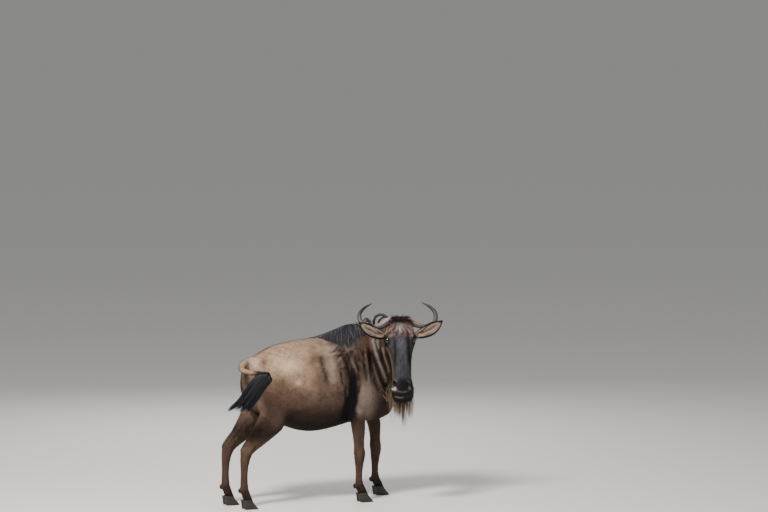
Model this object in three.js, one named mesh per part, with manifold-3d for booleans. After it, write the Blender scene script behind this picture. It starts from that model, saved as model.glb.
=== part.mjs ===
// A life-size standing wildebeest, looking back over its right shoulder, with its tail flicked
// to the right. Millimetres, +Z up, the animal's forward direction is +X and its left is +Y.
// Every part is a loft through a few named sections, swollen by muscles where the animal has
// them. The body is joined whole and then parted with thin cuts, so that its parts meet.
import * as THREE from "three";
import { LoftGeometry } from "three/addons/geometries/LoftGeometry.js";
import { mergeVertices } from "three/addons/utils/BufferGeometryUtils.js";
import Module from "manifold-3d";

const wasm = await Module();
wasm.setup();

// Driving sizes
const GAP = 0.3; // clearance between two parts that touch
const WITHERS_HEIGHT = 1170; // top of the hump, without the mane
const LEG_SPREAD = 128; // from the midline to a forefoot
const HIND_SPREAD = 116; // from the midline to a hind foot
const FAR_FORELEG_REACH = 236; // how far the left forefoot stands ahead of the right one
const HEAD_LENGTH = 545; // from the poll to the lips
const EYE_RADIUS = 20;
const EAR_HALF_WIDTH = 44;
const MANE_HAIR = 160;
const BEARD_HAIR = 165;
const TASSEL_HAIR = 345;

const V = (x, y, z) => new THREE.Vector3(x, y, z);
const UP = V(0, 0, 1);

// A repeatable stream of numbers from 0 to 1
function seeded(seed) {
  let state = seed;
  return () => {
    state = (state * 1664525 + 1013904223) % 4294967296;
    return state / 4294967296;
  };
}

// A closed geometry as a solid
function solidOf(geometry) {
  const bare = new THREE.BufferGeometry().copy(geometry);
  bare.deleteAttribute("normal");
  bare.deleteAttribute("uv");
  const merged = mergeVertices(bare, 1e-3);
  return new wasm.Manifold(
    new wasm.Mesh({
      numProp: 3,
      vertProperties: merged.attributes.position.array,
      triVerts: new Uint32Array(merged.index.array),
    }),
  );
}

function geometryOf(solid) {
  const mesh = solid.getMesh();
  const geometry = new THREE.BufferGeometry();
  const positions = new Float32Array(mesh.numVert * 3);
  for (let i = 0; i < mesh.numVert; i++)
    for (let k = 0; k < 3; k++)
      positions[3 * i + k] = mesh.vertProperties[i * mesh.numProp + k];
  geometry.setAttribute("position", new THREE.BufferAttribute(positions, 3));
  geometry.setIndex(new THREE.BufferAttribute(new Uint32Array(mesh.triVerts), 1));
  geometry.computeVertexNormals();
  return geometry;
}

const join = (solids) => solids.reduce((all, one) => all.add(one));
const largest = (solid) =>
  solid.decompose().sort((a, b) => b.volume() - a.volume())[0];

// A section is [x, y, z, half width, height above, depth below, squareness above, below].
const CHANNELS = 8;

// The run of sections as a smooth function of t from 0 to 1, at even distances along it
function sweep(sections) {
  const places = sections.map((s) => V(s[0], s[1], s[2]));
  const at = [0];
  for (let i = 1; i < places.length; i++)
    at.push(at[i - 1] + places[i].distanceTo(places[i - 1]));
  const length = at[at.length - 1];
  const full = sections.map((s) => [...s, 2, 2].slice(0, CHANNELS));
  const spline = new THREE.CubicInterpolant(
    new Float64Array(at),
    new Float64Array(full.flat()),
    CHANNELS,
    new Float64Array(CHANNELS),
  );
  const read = (t) => [...spline.evaluate(THREE.MathUtils.clamp(t, 0, 1) * length)];
  return { read, length };
}

// The local directions at t: along the run, to the animal's left, and the section's own up.
// A form may fix its own direction, and then all of its sections are parallel.
function frameAt({ run, left, fixed }, t) {
  const step = 0.004;
  const a = run.read(t - step);
  const b = run.read(t + step);
  const along = fixed ?? V(b[0] - a[0], b[1] - a[1], b[2] - a[2]).normalize();
  const side = left
    ? left.clone().addScaledVector(along, -left.dot(along)).normalize()
    : V(-along.y, along.x, 0).normalize();
  return { along, side, up: along.clone().cross(side) };
}

// A point of the surface at t, at an angle from the left side towards the section's up
function surfacePoint(form, t, angle, lift = 0) {
  const [x, y, z, half, above, below, powerAbove, powerBelow] = form.run.read(t);
  const { side, up } = frameAt(form, t);
  const c = Math.cos(angle);
  const s = Math.sin(angle);
  const power = s >= 0 ? powerAbove : powerBelow;
  const across = Math.sign(c) * Math.abs(c) ** (2 / power) * half;
  const high = Math.sign(s) * Math.abs(s) ** (2 / power) * (s >= 0 ? above : below);
  const spot = V(x, y, z).addScaledVector(side, across).addScaledVector(up, high);
  const out = side
    .clone()
    .multiplyScalar(c / half)
    .addScaledVector(up, s / (s >= 0 ? above : below))
    .normalize();
  for (const muscle of form.muscles) {
    const offset = spot.clone().sub(muscle.at).divide(muscle.size);
    spot.addScaledVector(out, muscle.swell * Math.exp(-offset.lengthSq()));
  }
  return { spot: spot.addScaledVector(out, lift), out };
}

// A form is a run of sections with its muscles. round is how far from each end it domes over.
function form(sections, { left = null, fixed = null, muscles = [], round = [0, 0] } = {}) {
  return { run: sweep(sections), left, fixed, muscles, round };
}

// The form as a closed loft, grown outwards by grow
function loft(shape, rings, sides, grow = 0) {
  const sections = [];
  const stops = [];
  for (let i = 0; i <= rings; i++) stops.push(i / rings);
  const [startDome, endDome] = shape.round.map((r) => r / shape.run.length);
  const near = [0.06, 0.25, 0.6];
  if (startDome > 0) stops.push(...near.map((n) => n * startDome));
  if (endDome > 0) stops.push(...near.map((n) => 1 - n * endDome));
  const least = 0.3 / rings;
  const kept = stops
    .sort((a, b) => a - b)
    .filter((t, i, all) => i === 0 || i === all.length - 1 || t - all[i - 1] > least * 0.4);
  for (const t of kept) {
    let share = 1;
    if (startDome > 0 && t < startDome) share = Math.sqrt(1 - (1 - t / startDome) ** 2);
    if (endDome > 0 && 1 - t < endDome)
      share = Math.sqrt(1 - (1 - (1 - t) / endDome) ** 2);
    share = Math.max(share, 0.12);
    const [x, y, z] = shape.run.read(t);
    const centre = V(x, y, z);
    const ring = [];
    for (let j = 0; j < sides; j++) {
      const { spot, out } = surfacePoint(shape, t, (2 * Math.PI * j) / sides);
      ring.push(centre.clone().lerp(spot, share).addScaledVector(out, grow));
    }
    sections.push(ring);
  }
  for (const k of [0, sections.length - 1]) {
    const { along } = frameAt(shape, k ? 1 : 0);
    sections[k].forEach((p) => p.addScaledVector(along, k ? grow : -grow));
  }
  return new LoftGeometry(sections, { capStart: true, capEnd: true });
}

const muscle = (x, y, z, sx, sy, sz, swell) => ({
  at: V(x, y, z),
  size: V(sx, sy, sz),
  swell,
});
const bothSides = (x, y, z, ...rest) => [muscle(x, y, z, ...rest), muscle(x, -y, z, ...rest)];

// Trunk: x, level of the greatest width, half width, back line, belly line, squareness
const TRUNK = [
  [-782, 830, 62, 885, 770, 2, 2],
  [-742, 838, 118, 962, 670, 1.9, 2],
  [-672, 848, 160, 1010, 605, 1.85, 2],
  [-590, 846, 186, 1052, 565, 1.85, 2.1],
  [-495, 825, 200, 1078, 528, 1.85, 2.2],
  [-395, 780, 212, 1094, 492, 1.9, 2.2],
  [-295, 750, 220, 1102, 478, 1.95, 2.1],
  [-195, 740, 218, 1112, 487, 1.9, 2.1],
  [-105, 735, 204, 1141, 505, 1.75, 2.1],
  [-15, 730, 186, WITHERS_HEIGHT, 525, 1.6, 2.1],
  [70, 725, 166, WITHERS_HEIGHT - 4, 530, 1.6, 2.1],
  [150, 710, 150, 1105, 526, 1.7, 2],
  [220, 700, 134, 1000, 538, 1.9, 2],
  [275, 692, 108, 900, 562, 2, 2],
  [318, 680, 74, 800, 605, 2, 2],
].map(([x, level, half, back, belly, ...power]) => [
  x, 0, level, half, back - level, level - belly, ...power,
]);
const trunk = form(TRUNK, {
  left: V(0, 1, 0),
  fixed: V(1, 0, 0),
  round: [70, 60],
  muscles: [
    ...bothSides(-660, 140, 780, 120, 80, 150, 24), // buttock and thigh
    ...bothSides(-560, 170, 680, 95, 80, 120, 30), // stifle
    ...bothSides(-520, 150, 1000, 60, 60, 55, 12), // point of the hip
    ...bothSides(40, 150, 880, 75, 80, 190, 20), // shoulder blade
    ...bothSides(60, 150, 680, 95, 70, 90, 26), // upper arm
    ...bothSides(-55, 170, 740, 45, 60, 190, -14), // hollow behind the shoulder
    ...bothSides(-430, 180, 880, 70, 60, 80, -12), // hollow of the flank
  ],
});

// Neck: bent round to the animal's right, from deep in the chest to the back of the skull
const NECK = [
  [60, 0, 880, 128, 255, 250],
  [150, -10, 915, 124, 235, 246],
  [225, -55, 965, 116, 200, 215],
  [262, -125, 1025, 104, 160, 186],
  [256, -200, 1080, 93, 135, 156],
  [233, -262, 1125, 84, 112, 130],
  [208, -312, 1162, 70, 88, 104],
];
const neck = form(NECK, { round: [0, 30] });

// The head is made in its own frame: x from the poll to the lips, y to its left, z out of the
// face. It hangs at a steep pitch and faces back past the animal's right shoulder.
const POLL = V(182, -395, 1242);
const HEAD_YAW = THREE.MathUtils.degToRad(-107);
const HEAD_PITCH = THREE.MathUtils.degToRad(70);
const HEAD_ROLL = THREE.MathUtils.degToRad(0.5);
const facing = V(Math.cos(HEAD_YAW), Math.sin(HEAD_YAW), 0);
const headLeft = UP.clone().cross(facing);
const headAlong = facing
  .clone()
  .multiplyScalar(Math.cos(HEAD_PITCH))
  .addScaledVector(UP, -Math.sin(HEAD_PITCH));
const headOut = headAlong.clone().cross(headLeft);
const headPlace = new THREE.Matrix4()
  .makeRotationAxis(headOut, HEAD_ROLL)
  .multiply(new THREE.Matrix4().makeBasis(headAlong, headLeft, headOut))
  .setPosition(POLL);
const placed = (geometry) => geometry.applyMatrix4(headPlace);

// Skull: share of the head's length, level of the greatest width, half width, face, underside
const SKULL = [
  [-0.03, -76, 56, -28, -118, 2, 2],
  [0.01, -70, 74, -8, -138, 2.2, 2],
  [0.06, -60, 86, 4, -172, 2.4, 2],
  [0.14, -55, 93, 10, -198, 2.5, 1.9],
  [0.22, -52, 96, 12, -208, 2.5, 1.8],
  [0.31, -50, 88, 13, -204, 2.6, 1.7],
  [0.4, -46, 75, 13, -180, 2.8, 1.7],
  [0.52, -44, 65, 10, -150, 3, 1.8],
  [0.65, -46, 60, 3, -132, 3, 1.9],
  [0.78, -50, 62, -9, -126, 2.8, 2.1],
  [0.87, -56, 69, -22, -125, 2.6, 2.3],
  [0.945, -64, 68, -40, -120, 2.5, 2.4],
  [1, -72, 55, -56, -102, 2.4, 2.4],
].map(([share, level, half, face, under, ...power]) => [
  share * HEAD_LENGTH, 0, level, half, face - level, level - under, ...power,
]);
const EYE = V(138, 82, -30);
const skull = form(SKULL, {
  left: V(0, 1, 0),
  round: [22, 16],
  muscles: [
    ...bothSides(120, 88, -18, 30, 30, 24, 13), // brow
    ...bothSides(166, 88, -52, 34, 30, 26, 7), // cheek bone
    ...bothSides(196, 58, -4, 34, 26, 26, 8), // gland before the eye
    ...bothSides(110, 80, -130, 60, 50, 60, 14), // jaw muscle
    ...bothSides(440, 60, -40, 34, 30, 34, 6), // flare of the nostril
    muscle(300, 0, 20, 110, 40, 40, 5), // arched bridge of the nose
    muscle(30, 0, -10, 44, 70, 40, 6), // brush between the horns
  ],
});
const MOUTH_LEVEL = -90;
const mouth = { front: HEAD_LENGTH + 20, corner: 405, drop: 14, gap: 3.4, depth: 9 };

const inset = (sections, depth) =>
  sections.map(([x, y, z, half, above, below, ...power]) => [
    x, y, z, half - depth, above - depth, below - depth, ...power,
  ]);

// The line of the mouth: a thin bent wedge that only bites as deep as the lips
function mouthLine(grow) {
  const outline = new THREE.Shape();
  const steps = 6;
  const level = (s) => MOUTH_LEVEL + mouth.drop * (1 - s) ** 2 - 4 * s;
  const place = (s) => mouth.corner + (mouth.front - mouth.corner) * s;
  const half = mouth.gap / 2 - grow;
  outline.moveTo(place(0) - 6, level(0));
  for (let i = 0; i <= steps; i++) {
    const s = i / steps;
    outline.lineTo(place(s), level(s) - half * Math.min(1, 0.4 + 2 * s));
  }
  for (let i = steps; i >= 0; i--) {
    const s = i / steps;
    outline.lineTo(place(s), level(s) + half * Math.min(1, 0.4 + 2 * s));
  }
  const wide = 240;
  const plate = new THREE.ExtrudeGeometry(outline, { depth: wide, bevelEnabled: false });
  plate.applyMatrix4(
    new THREE.Matrix4().makeBasis(V(1, 0, 0), V(0, 0, 1), V(0, -1, 0)).setPosition(0, wide / 2, 0),
  );
  const core = form(inset(SKULL, mouth.depth), { left: V(0, 1, 0) });
  return solidOf(placed(plate)).subtract(solidOf(placed(loft(core, 10, 12))));
}

// A nostril: a comma-shaped pit on the side of the muzzle, open to the front
const NOSTRIL = [
  [416, 60, -30, 4, 4, 4],
  [430, 64, -28, 9, 6, 6],
  [446, 60, -34, 11, 8, 8],
  [462, 52, -46, 8, 6, 6],
];
const mirrored = (sections, side) => sections.map(([x, y, ...rest]) => [x, side * y, ...rest]);
const nostrilForm = (side) => form(mirrored(NOSTRIL, side), { left: V(0, 0, 1) });
const nostril = (side) => solidOf(placed(loft(nostrilForm(side), 4, 6)));

// Lids: an oval rim round the eye, thicker above it
function lids(side) {
  const rim = [];
  const turns = 11;
  const ring = (k) => (2 * Math.PI * k) / turns;
  for (let k = 0; k < turns; k++) {
    const a = ring(k);
    const thick = 5.5 + 2.5 * Math.max(0, -Math.cos(a));
    const centre = V(EYE.x + 19 * Math.cos(a), side * (EYE.y + 11), EYE.z + 14 * Math.sin(a));
    rim.push([a, centre, thick]);
  }
  const sections = [];
  for (let k = 0; k <= turns; k++) {
    const [a, centre, thick] = rim[k % turns];
    const out = V(Math.cos(a), 0, Math.sin(a));
    const points = [];
    for (let j = 0; j < 5; j++) {
      const b = (side * 2 * Math.PI * j) / 5;
      points.push(
        centre
          .clone()
          .addScaledVector(out, thick * Math.cos(b))
          .add(V(0, side * 7 * Math.sin(b), 0)),
      );
    }
    sections.push(points);
  }
  return solidOf(placed(new LoftGeometry(sections)));
}

const ball = (centre, radius, columns = 12, rows = 7) =>
  new THREE.SphereGeometry(radius, columns, rows).translate(centre.x, centre.y, centre.z);
const eyeAt = (side) => V(EYE.x, side * EYE.y, EYE.z);

// Horns: out from the boss, down a little, then up and in to the tip
const HORN = [
  [8, 22, -26, 26, 24, 24],
  [6, 60, -22, 26, 23, 23],
  [27, 98, -26, 21, 20, 20],
  [44, 150, -26, 17, 16, 16],
  [36, 204, -30, 17, 16, 16],
  [-2, 238, -36, 16, 15, 15],
  [-52, 240, -44, 13, 12, 12],
  [-97, 206, -54, 8.5, 8, 8],
  [-127, 160, -64, 2.5, 2.5, 2.5],
];
const HORN_SPREAD = { left: 1.02, right: 1.08 };
function horn(side) {
  const spread = side > 0 ? HORN_SPREAD.left : HORN_SPREAD.right;
  const widened = HORN.map(([x, y, ...rest]) => [x, y * spread, ...rest]);
  return form(mirrored(widened, side), { left: V(0, 0, 1) });
}
const hornSolid = (side, grow = 0) => solidOf(placed(loft(horn(side), 14, 8, grow)));

// Ears: long leaves held out sideways and forward of the horns, hollowed from the front
const EAR_ROOT = V(102, 78, -62);
const EAR_TIP = V(27, 276, 36);
const EAR_SHARES = [
  [0, 0.42], [0.14, 0.5], [0.32, 0.8], [0.52, 1], [0.7, 0.94], [0.86, 0.6], [1, 0.1],
];
function earSections(side, { narrower = 0, back = 22, front = 9, from = 0 }) {
  return EAR_SHARES.map(([share, wide]) => {
    const t = from + (1 - from) * share;
    const bow = Math.sin(Math.PI * t);
    const half = Math.max(EAR_HALF_WIDTH * wide - narrower, 2);
    return [
      THREE.MathUtils.lerp(EAR_ROOT.x, EAR_TIP.x, t) + 23 * bow,
      side * THREE.MathUtils.lerp(EAR_ROOT.y, EAR_TIP.y, t),
      THREE.MathUtils.lerp(EAR_ROOT.z, EAR_TIP.z, t) + 26 * bow,
      half,
      front,
      Math.max((back - narrower) * Math.min(1, wide + 0.25), 2),
    ];
  });
}
function earSolid(side) {
  const left = V(-side, 0, 0);
  const outer = form(earSections(side, {}), { left });
  const hollow = form(earSections(side, { narrower: 7, front: 40, from: 0.2 }), { left });
  return solidOf(placed(loft(outer, 9, 10))).subtract(solidOf(placed(loft(hollow, 7, 10))));
}

// Legs: x, z, half width, front, back; the foot's spread is added and the stance shifts x
const HIND_LEG = [
  [-600, 820, 84, 118, 112],
  [-602, 705, 84, 120, 122],
  [-640, 605, 72, 118, 84],
  [-702, 525, 52, 92, 62],
  [-762, 450, 38, 62, 48],
  [-812, 388, 33, 38, 52],
  [-830, 338, 29, 33, 36],
  [-836, 276, 22, 24, 26],
  [-838, 180, 21, 22, 25],
  [-840, 140, 26, 28, 33],
  [-828, 96, 24, 24, 27],
  [-808, 60, 34, 30, 30],
  [-800, 34, 30, 26, 26],
];
const FORELEG = [
  [30, 760, 58, 96, 88],
  [6, 660, 58, 84, 80],
  [0, 572, 47, 58, 58],
  [4, 480, 40, 44, 44],
  [9, 385, 31, 34, 36],
  [12, 318, 35, 37, 37],
  [12, 270, 31, 30, 33],
  [10, 220, 22, 22, 25],
  [8, 145, 21, 22, 25],
  [7, 125, 26, 28, 33],
  [22, 88, 24, 24, 27],
  [42, 56, 34, 30, 30],
  [50, 34, 30, 26, 26],
];
const STANCE_TOP = 830; // the height from which a leg swings forward
const STANCE_DROP = 370; // the height over which it does so
const stance = (z, reach) =>
  reach * Math.sin((Math.PI / 2) * THREE.MathUtils.clamp((STANCE_TOP - z) / STANCE_DROP, 0, 1));
const LEGS = [
  { name: "foreleg_right", side: -1, rows: FORELEG, spread: LEG_SPREAD, reach: 0 },
  { name: "foreleg_left", side: 1, rows: FORELEG, spread: LEG_SPREAD, reach: FAR_FORELEG_REACH },
  { name: "hindleg_right", side: -1, rows: HIND_LEG, spread: HIND_SPREAD, reach: 20 },
  { name: "hindleg_left", side: 1, rows: HIND_LEG, spread: HIND_SPREAD, reach: -16 },
];
function legForm({ side, rows, spread, reach }) {
  const sections = rows.map(([x, z, half, front, back], i) => [
    x + stance(z, reach),
    side * (spread - Math.max(0, 15 - 6 * i)),
    z,
    half,
    front,
    back,
    2.1,
    2.1,
  ]);
  return form(sections, { left: V(0, 1, 0) });
}
// Two small false hooves behind each fetlock
function dewclaws({ side, rows, spread, reach }) {
  const [x, z, , , back] = rows[9];
  return [-1, 1].map((turn) =>
    solidOf(
      new THREE.SphereGeometry(11, 6, 4)
        .scale(1, 0.8, 1.5)
        .translate(x + stance(z, reach) - back + 6, side * spread + turn * 13, z - 16),
    ),
  );
}

// A claw: narrow, sloped at the front, rounded at the heel, flat underneath
const CLAW = { long: 96, wide: 46, high: 62, lean: 28 };
function claw(leg, turn, grow = 0) {
  const { side, rows, spread, reach } = leg;
  const last = rows[rows.length - 1];
  const x = last[0] + stance(0, reach) + 2;
  const y = side * spread + turn * (CLAW.wide / 2 + GAP + 0.6);
  const half = CLAW.wide / 2;
  const sections = [
    [x - CLAW.lean, y, CLAW.high, half * 0.74, 26, 30],
    [x - CLAW.lean * 0.7, y, CLAW.high * 0.72, half * 0.92, 34, 33],
    [x - CLAW.lean * 0.3, y, CLAW.high * 0.3, half, 45, 42],
    [x, y, 0, half * 0.97, 54, 48],
  ].map((s) => [...s, 2.3, 2.6]);
  return solidOf(loft(form(sections, { left: V(0, 1, 0), fixed: V(0, 0, -1) }), 3, 12, grow));
}

// Tail: leaves the croup, swings out to the right and forward, level with the buttock
const TAIL = [
  [-700, 0, 965, 34, 32, 34],
  [-752, -14, 964, 29, 27, 29],
  [-806, -62, 948, 23, 22, 23],
  [-842, -140, 928, 19, 18, 18],
  [-836, -232, 922, 16, 15, 15],
  [-796, -312, 920, 14, 13, 13],
  [-742, -368, 916, 12, 11, 11],
];
const tail = form(TAIL, { round: [0, 10] });

// The flesh of each part, grown a little where hair has to clear it
const trunkFlesh = (grow = 0) => solidOf(loft(trunk, 22, 24, grow));
const neckFlesh = (grow = 0) => solidOf(loft(neck, 10, 20, grow));
const headFlesh = (grow = 0) => solidOf(placed(loft(skull, 19, 24, grow)));
const legFlesh = (leg) => solidOf(loft(legForm(leg), 17, 10));
const tailFlesh = (grow = 0) => solidOf(loft(tail, 10, 8, grow));

let body = join([trunkFlesh(), neckFlesh(), headFlesh(), ...LEGS.map(legFlesh), tailFlesh()]);
for (const leg of LEGS) body = join([body, ...dewclaws(leg)]);
for (const side of [-1, 1]) {
  body = join([body, lids(side), earSolid(side)]);
  body = body
    .subtract(solidOf(placed(ball(eyeAt(side), EYE_RADIUS + GAP))))
    .subtract(nostril(side))
    .subtract(hornSolid(side, GAP));
}
body = body.subtract(mouthLine(0));
for (const leg of LEGS)
  for (const turn of [-1, 1]) body = body.subtract(claw(leg, turn, GAP));

// A thin plate that parts the body: where it stands, which way it faces, and its size
function parting(centre, normal, size) {
  const plate = new THREE.BoxGeometry(size[0], size[1], GAP);
  const turn = new THREE.Quaternion().setFromUnitVectors(UP, normal.clone().normalize());
  return solidOf(plate.applyQuaternion(turn).translate(centre.x, centre.y, centre.z));
}
const headPoint = (x, y, z) => V(x, y, z).applyMatrix4(headPlace);
const headTurn = (x, y, z) => V(x, y, z).transformDirection(headPlace);

const cuts = [
  parting(V(205, -70, 940), V(0.62, -0.6, 0.5), [640, 640]), // neck from trunk
  parting(headPoint(68, 0, -148), headTurn(-0.526, 0, -0.85), [620, 620]), // head from neck
  parting(V(-772, -30, 958), V(-0.8, -0.6, -0.1), [110, 110]), // tail from croup
];
for (const side of [-1, 1]) {
  const at = EAR_ROOT.clone().lerp(EAR_TIP, 0.2);
  const along = EAR_TIP.clone().sub(EAR_ROOT);
  const root = headPoint(at.x + 8, side * at.y, at.z);
  cuts.push(parting(root, headTurn(along.x, side * along.y, along.z), [86, 86]));
}
for (const { side, rows, spread, reach } of LEGS) {
  const fore = rows === FORELEG;
  const hip = fore ? V(4 + stance(520, reach), side * spread, 520) : V(-665, side * 130, 598);
  const across = fore ? V(0.05, 0, 1) : V(0.5, 0, 0.86);
  cuts.push(parting(hip, across, fore ? [220, 170] : [340, 225]));
  const [x, z] = rows[6];
  cuts.push(parting(V(x + stance(z, reach), side * spread, z), UP, [150, 120]));
}
for (const cut of cuts) body = body.subtract(cut);

// What each piece of the parted body is called, by a point near its middle
const LABELS = {
  torso: V(-250, 0, 800),
  neck: V(262, -160, 1030),
  head: headPoint(260, 0, -70),
  ear_left: headPoint(82, 190, 2),
  ear_right: headPoint(82, -190, 2),
  tail_stem: V(-815, -190, 925),
};
for (const { name, side, rows, spread, reach } of LEGS) {
  const fore = rows === FORELEG;
  const [thighZ, shankZ] = fore ? [440, 160] : [480, 190];
  LABELS[name + "_upper"] = V(fore ? 5 + stance(thighZ, reach) : -730, side * spread, thighZ);
  LABELS[name + "_lower"] = V((fore ? 15 : -838) + stance(shankZ, reach), side * spread, shankZ);
}

function middleOf(solid) {
  const { min, max } = solid.boundingBox();
  return V(min[0] + max[0], min[1] + max[1], min[2] + max[2]).multiplyScalar(0.5);
}

// A lock of hair: a flat tapered blade along path(s), which gives its spot and the way it faces
const LOCK_STOPS = [[0, 0.75], [0.36, 1], [0.76, 0.68], [1, 0.06]];
function lock(path, half, thick) {
  const sections = LOCK_STOPS.map(([s, wide]) => {
    const { spot, out } = path(s);
    const ahead = path(Math.min(s + 0.02, 1)).spot.clone();
    const along = ahead.sub(path(Math.max(s - 0.02, 0)).spot).normalize();
    const side = out.clone().cross(along).normalize();
    const face = along.clone().cross(side);
    return [0, 1, 2, 3].map((k) => {
      const c = Math.cos((k * Math.PI) / 2) * half * wide;
      const h = Math.sin((k * Math.PI) / 2) * thick * (0.25 + 0.75 * wide);
      return spot.clone().addScaledVector(side, c).addScaledVector(face, h);
    });
  });
  return solidOf(new LoftGeometry(sections, { capStart: true, capEnd: true }));
}

// Hair that lies over a form: it starts at t and angle, runs on by dt and turns by turn
function lying(shape, { t, angle, dt, turn, high, sunk = 6 }) {
  return (s) => {
    const lift = high * Math.sin(Math.PI * Math.min(1, 0.16 + 0.8 * s)) - sunk * (1 - s) ** 4 + 3;
    const a = angle + turn * s ** 1.15;
    return surfacePoint(shape, t + dt * s, a, lift);
  };
}

// A low ridge of packed hair along a form, at an angle round it, from one t to the other
const TOP = Math.PI / 2;
const UNDER = -Math.PI / 2;
function ridge(shape, { angle, from, to, steps, high, spread }) {
  const profile = [[-1, -8], [-0.7, 0.65], [0, 1], [0.7, 0.65], [1, -8], [0, -14]];
  const sections = [];
  for (let i = 0; i <= steps; i++) {
    const t = THREE.MathUtils.lerp(from, to, i / steps);
    const swell = Math.max(0.25, Math.sin(Math.PI * Math.min(1, 0.1 + (0.8 * i) / steps)));
    sections.push(
      profile.map(([side, lift]) => {
        const raise = lift < 0 ? lift : lift * high * swell;
        return surfacePoint(shape, t, angle + side * spread, raise).spot;
      }),
    );
  }
  return new LoftGeometry(sections, { capStart: true, capEnd: true });
}

// Where along a form's run its x passes a value
function whereX(shape, x) {
  let low = 0;
  let high = 1;
  for (let i = 0; i < 30; i++) {
    const middle = (low + high) / 2;
    if (shape.run.read(middle)[0] < x) low = middle;
    else high = middle;
  }
  return low;
}

// Mane: packed hair along the crest, most of it falling to the animal's right
function maneOver(shape, { from, to, count, seed, thin = 0 }) {
  const random = seeded(seed);
  const locks = [
    solidOf(ridge(shape, { angle: TOP, from, to, steps: 8, high: 24, spread: 0.23 })),
  ];
  for (let i = 0; i < count; i++) {
    const place = (i + 0.5 + 0.5 * (random() - 0.5)) / count;
    const full = THREE.MathUtils.smoothstep(place, -0.15, thin);
    const fall = i % 3 === 2 ? -1 : 1;
    const reach = MANE_HAIR * (0.72 + 0.4 * random()) * (fall > 0 ? 1 : 0.8);
    const t = THREE.MathUtils.lerp(from, to, place);
    const half = shape.run.read(t)[3];
    const path = lying(shape, {
      t,
      angle: TOP + fall * (0.04 + 0.1 * random()),
      dt: (-0.42 * reach * (0.5 + 0.5 * full)) / shape.run.length,
      turn: (fall * reach * 0.72) / (half + 60),
      high: (20 + 8 * random()) * full,
    });
    locks.push(lock(path, 15 + 4 * random(), 6.5));
  }
  return join(locks);
}

// Hair that hangs: out of the skin at first, then down
function hanging(root, out, across, length, swing) {
  const down = V(0, 0, -1);
  return (s) => {
    const spot = root
      .clone()
      .addScaledVector(out, -7 + length * 0.55 * (s - 0.5 * s * s))
      .addScaledVector(down, length * (0.2 * s + 0.8 * s * s))
      .addScaledVector(swing, length * s * s);
    const ahead = out.clone().multiplyScalar(1 - s).addScaledVector(down, 0.4 + s);
    const face = across.clone().cross(ahead).normalize();
    return { spot, out: face };
  };
}

// Beard: along the underside of the jaw, longest at the chin
function beard() {
  const random = seeded(31);
  const pad = { angle: UNDER, from: 0.44, to: 0.96, steps: 7, high: 26, spread: 0.62 };
  const locks = [solidOf(placed(ridge(skull, pad)))];
  const rows = 6;
  for (let i = 0; i < rows; i++)
    for (const column of [-1, 0, 1]) {
      const t = THREE.MathUtils.lerp(0.42, 0.95, (i + 0.5 * random()) / (rows - 1));
      const angle = UNDER + column * (0.4 + 0.12 * random());
      const { spot, out } = surfacePoint(skull, Math.min(t, 0.95), angle);
      const root = spot.applyMatrix4(headPlace);
      const away = out.transformDirection(headPlace);
      const length = BEARD_HAIR * (0.75 + 0.25 * random()) * (0.7 + 0.3 * t);
      const swing = V(0.05 * (random() - 0.5), 0.05 * (random() - 0.5), 0);
      locks.push(lock(hanging(root, away, headLeft, length, swing), 12 + 4 * random(), 5.5));
    }
  return join(locks);
}

// Fringe: down the front of the throat
function fringe() {
  const random = seeded(57);
  const pad = { angle: UNDER, from: 0.4, to: 0.86, steps: 6, high: 26, spread: 0.26 };
  const locks = [solidOf(ridge(neck, pad))];
  const rows = 10;
  for (let i = 0; i < rows; i++) {
    const t = THREE.MathUtils.lerp(0.4, 0.86, (i + 0.4 * random()) / (rows - 1));
    const angle = UNDER + (i % 2 ? 0.13 : -0.13);
    const { spot, out } = surfacePoint(neck, t, angle);
    const across = frameAt(neck, t).along;
    const length = BEARD_HAIR * (0.8 + 0.3 * random());
    locks.push(lock(hanging(spot, out, across, length, V(0, 0, 0)), 14 + 4 * random(), 6));
  }
  return join(locks);
}

// Forelock: from between the horns down over the forehead
function forelock() {
  const random = seeded(73);
  const locks = [];
  const count = 12;
  for (let i = 0; i < count; i++) {
    const side = i / (count - 1) - 0.5;
    const path = lying(skull, {
      t: 0.06 + 0.035 * random() + 0.25 * side * side,
      angle: TOP - 1.25 * side,
      dt: 0.13 + 0.04 * random(),
      turn: -0.25 * side,
      high: 9 + 4 * random(),
      sunk: 4,
    });
    const place = (s) => {
      const { spot, out } = path(s);
      return { spot: spot.applyMatrix4(headPlace), out: out.transformDirection(headPlace) };
    };
    locks.push(lock(place, 11 + 3 * random(), 5));
  }
  return join(locks);
}

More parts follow.
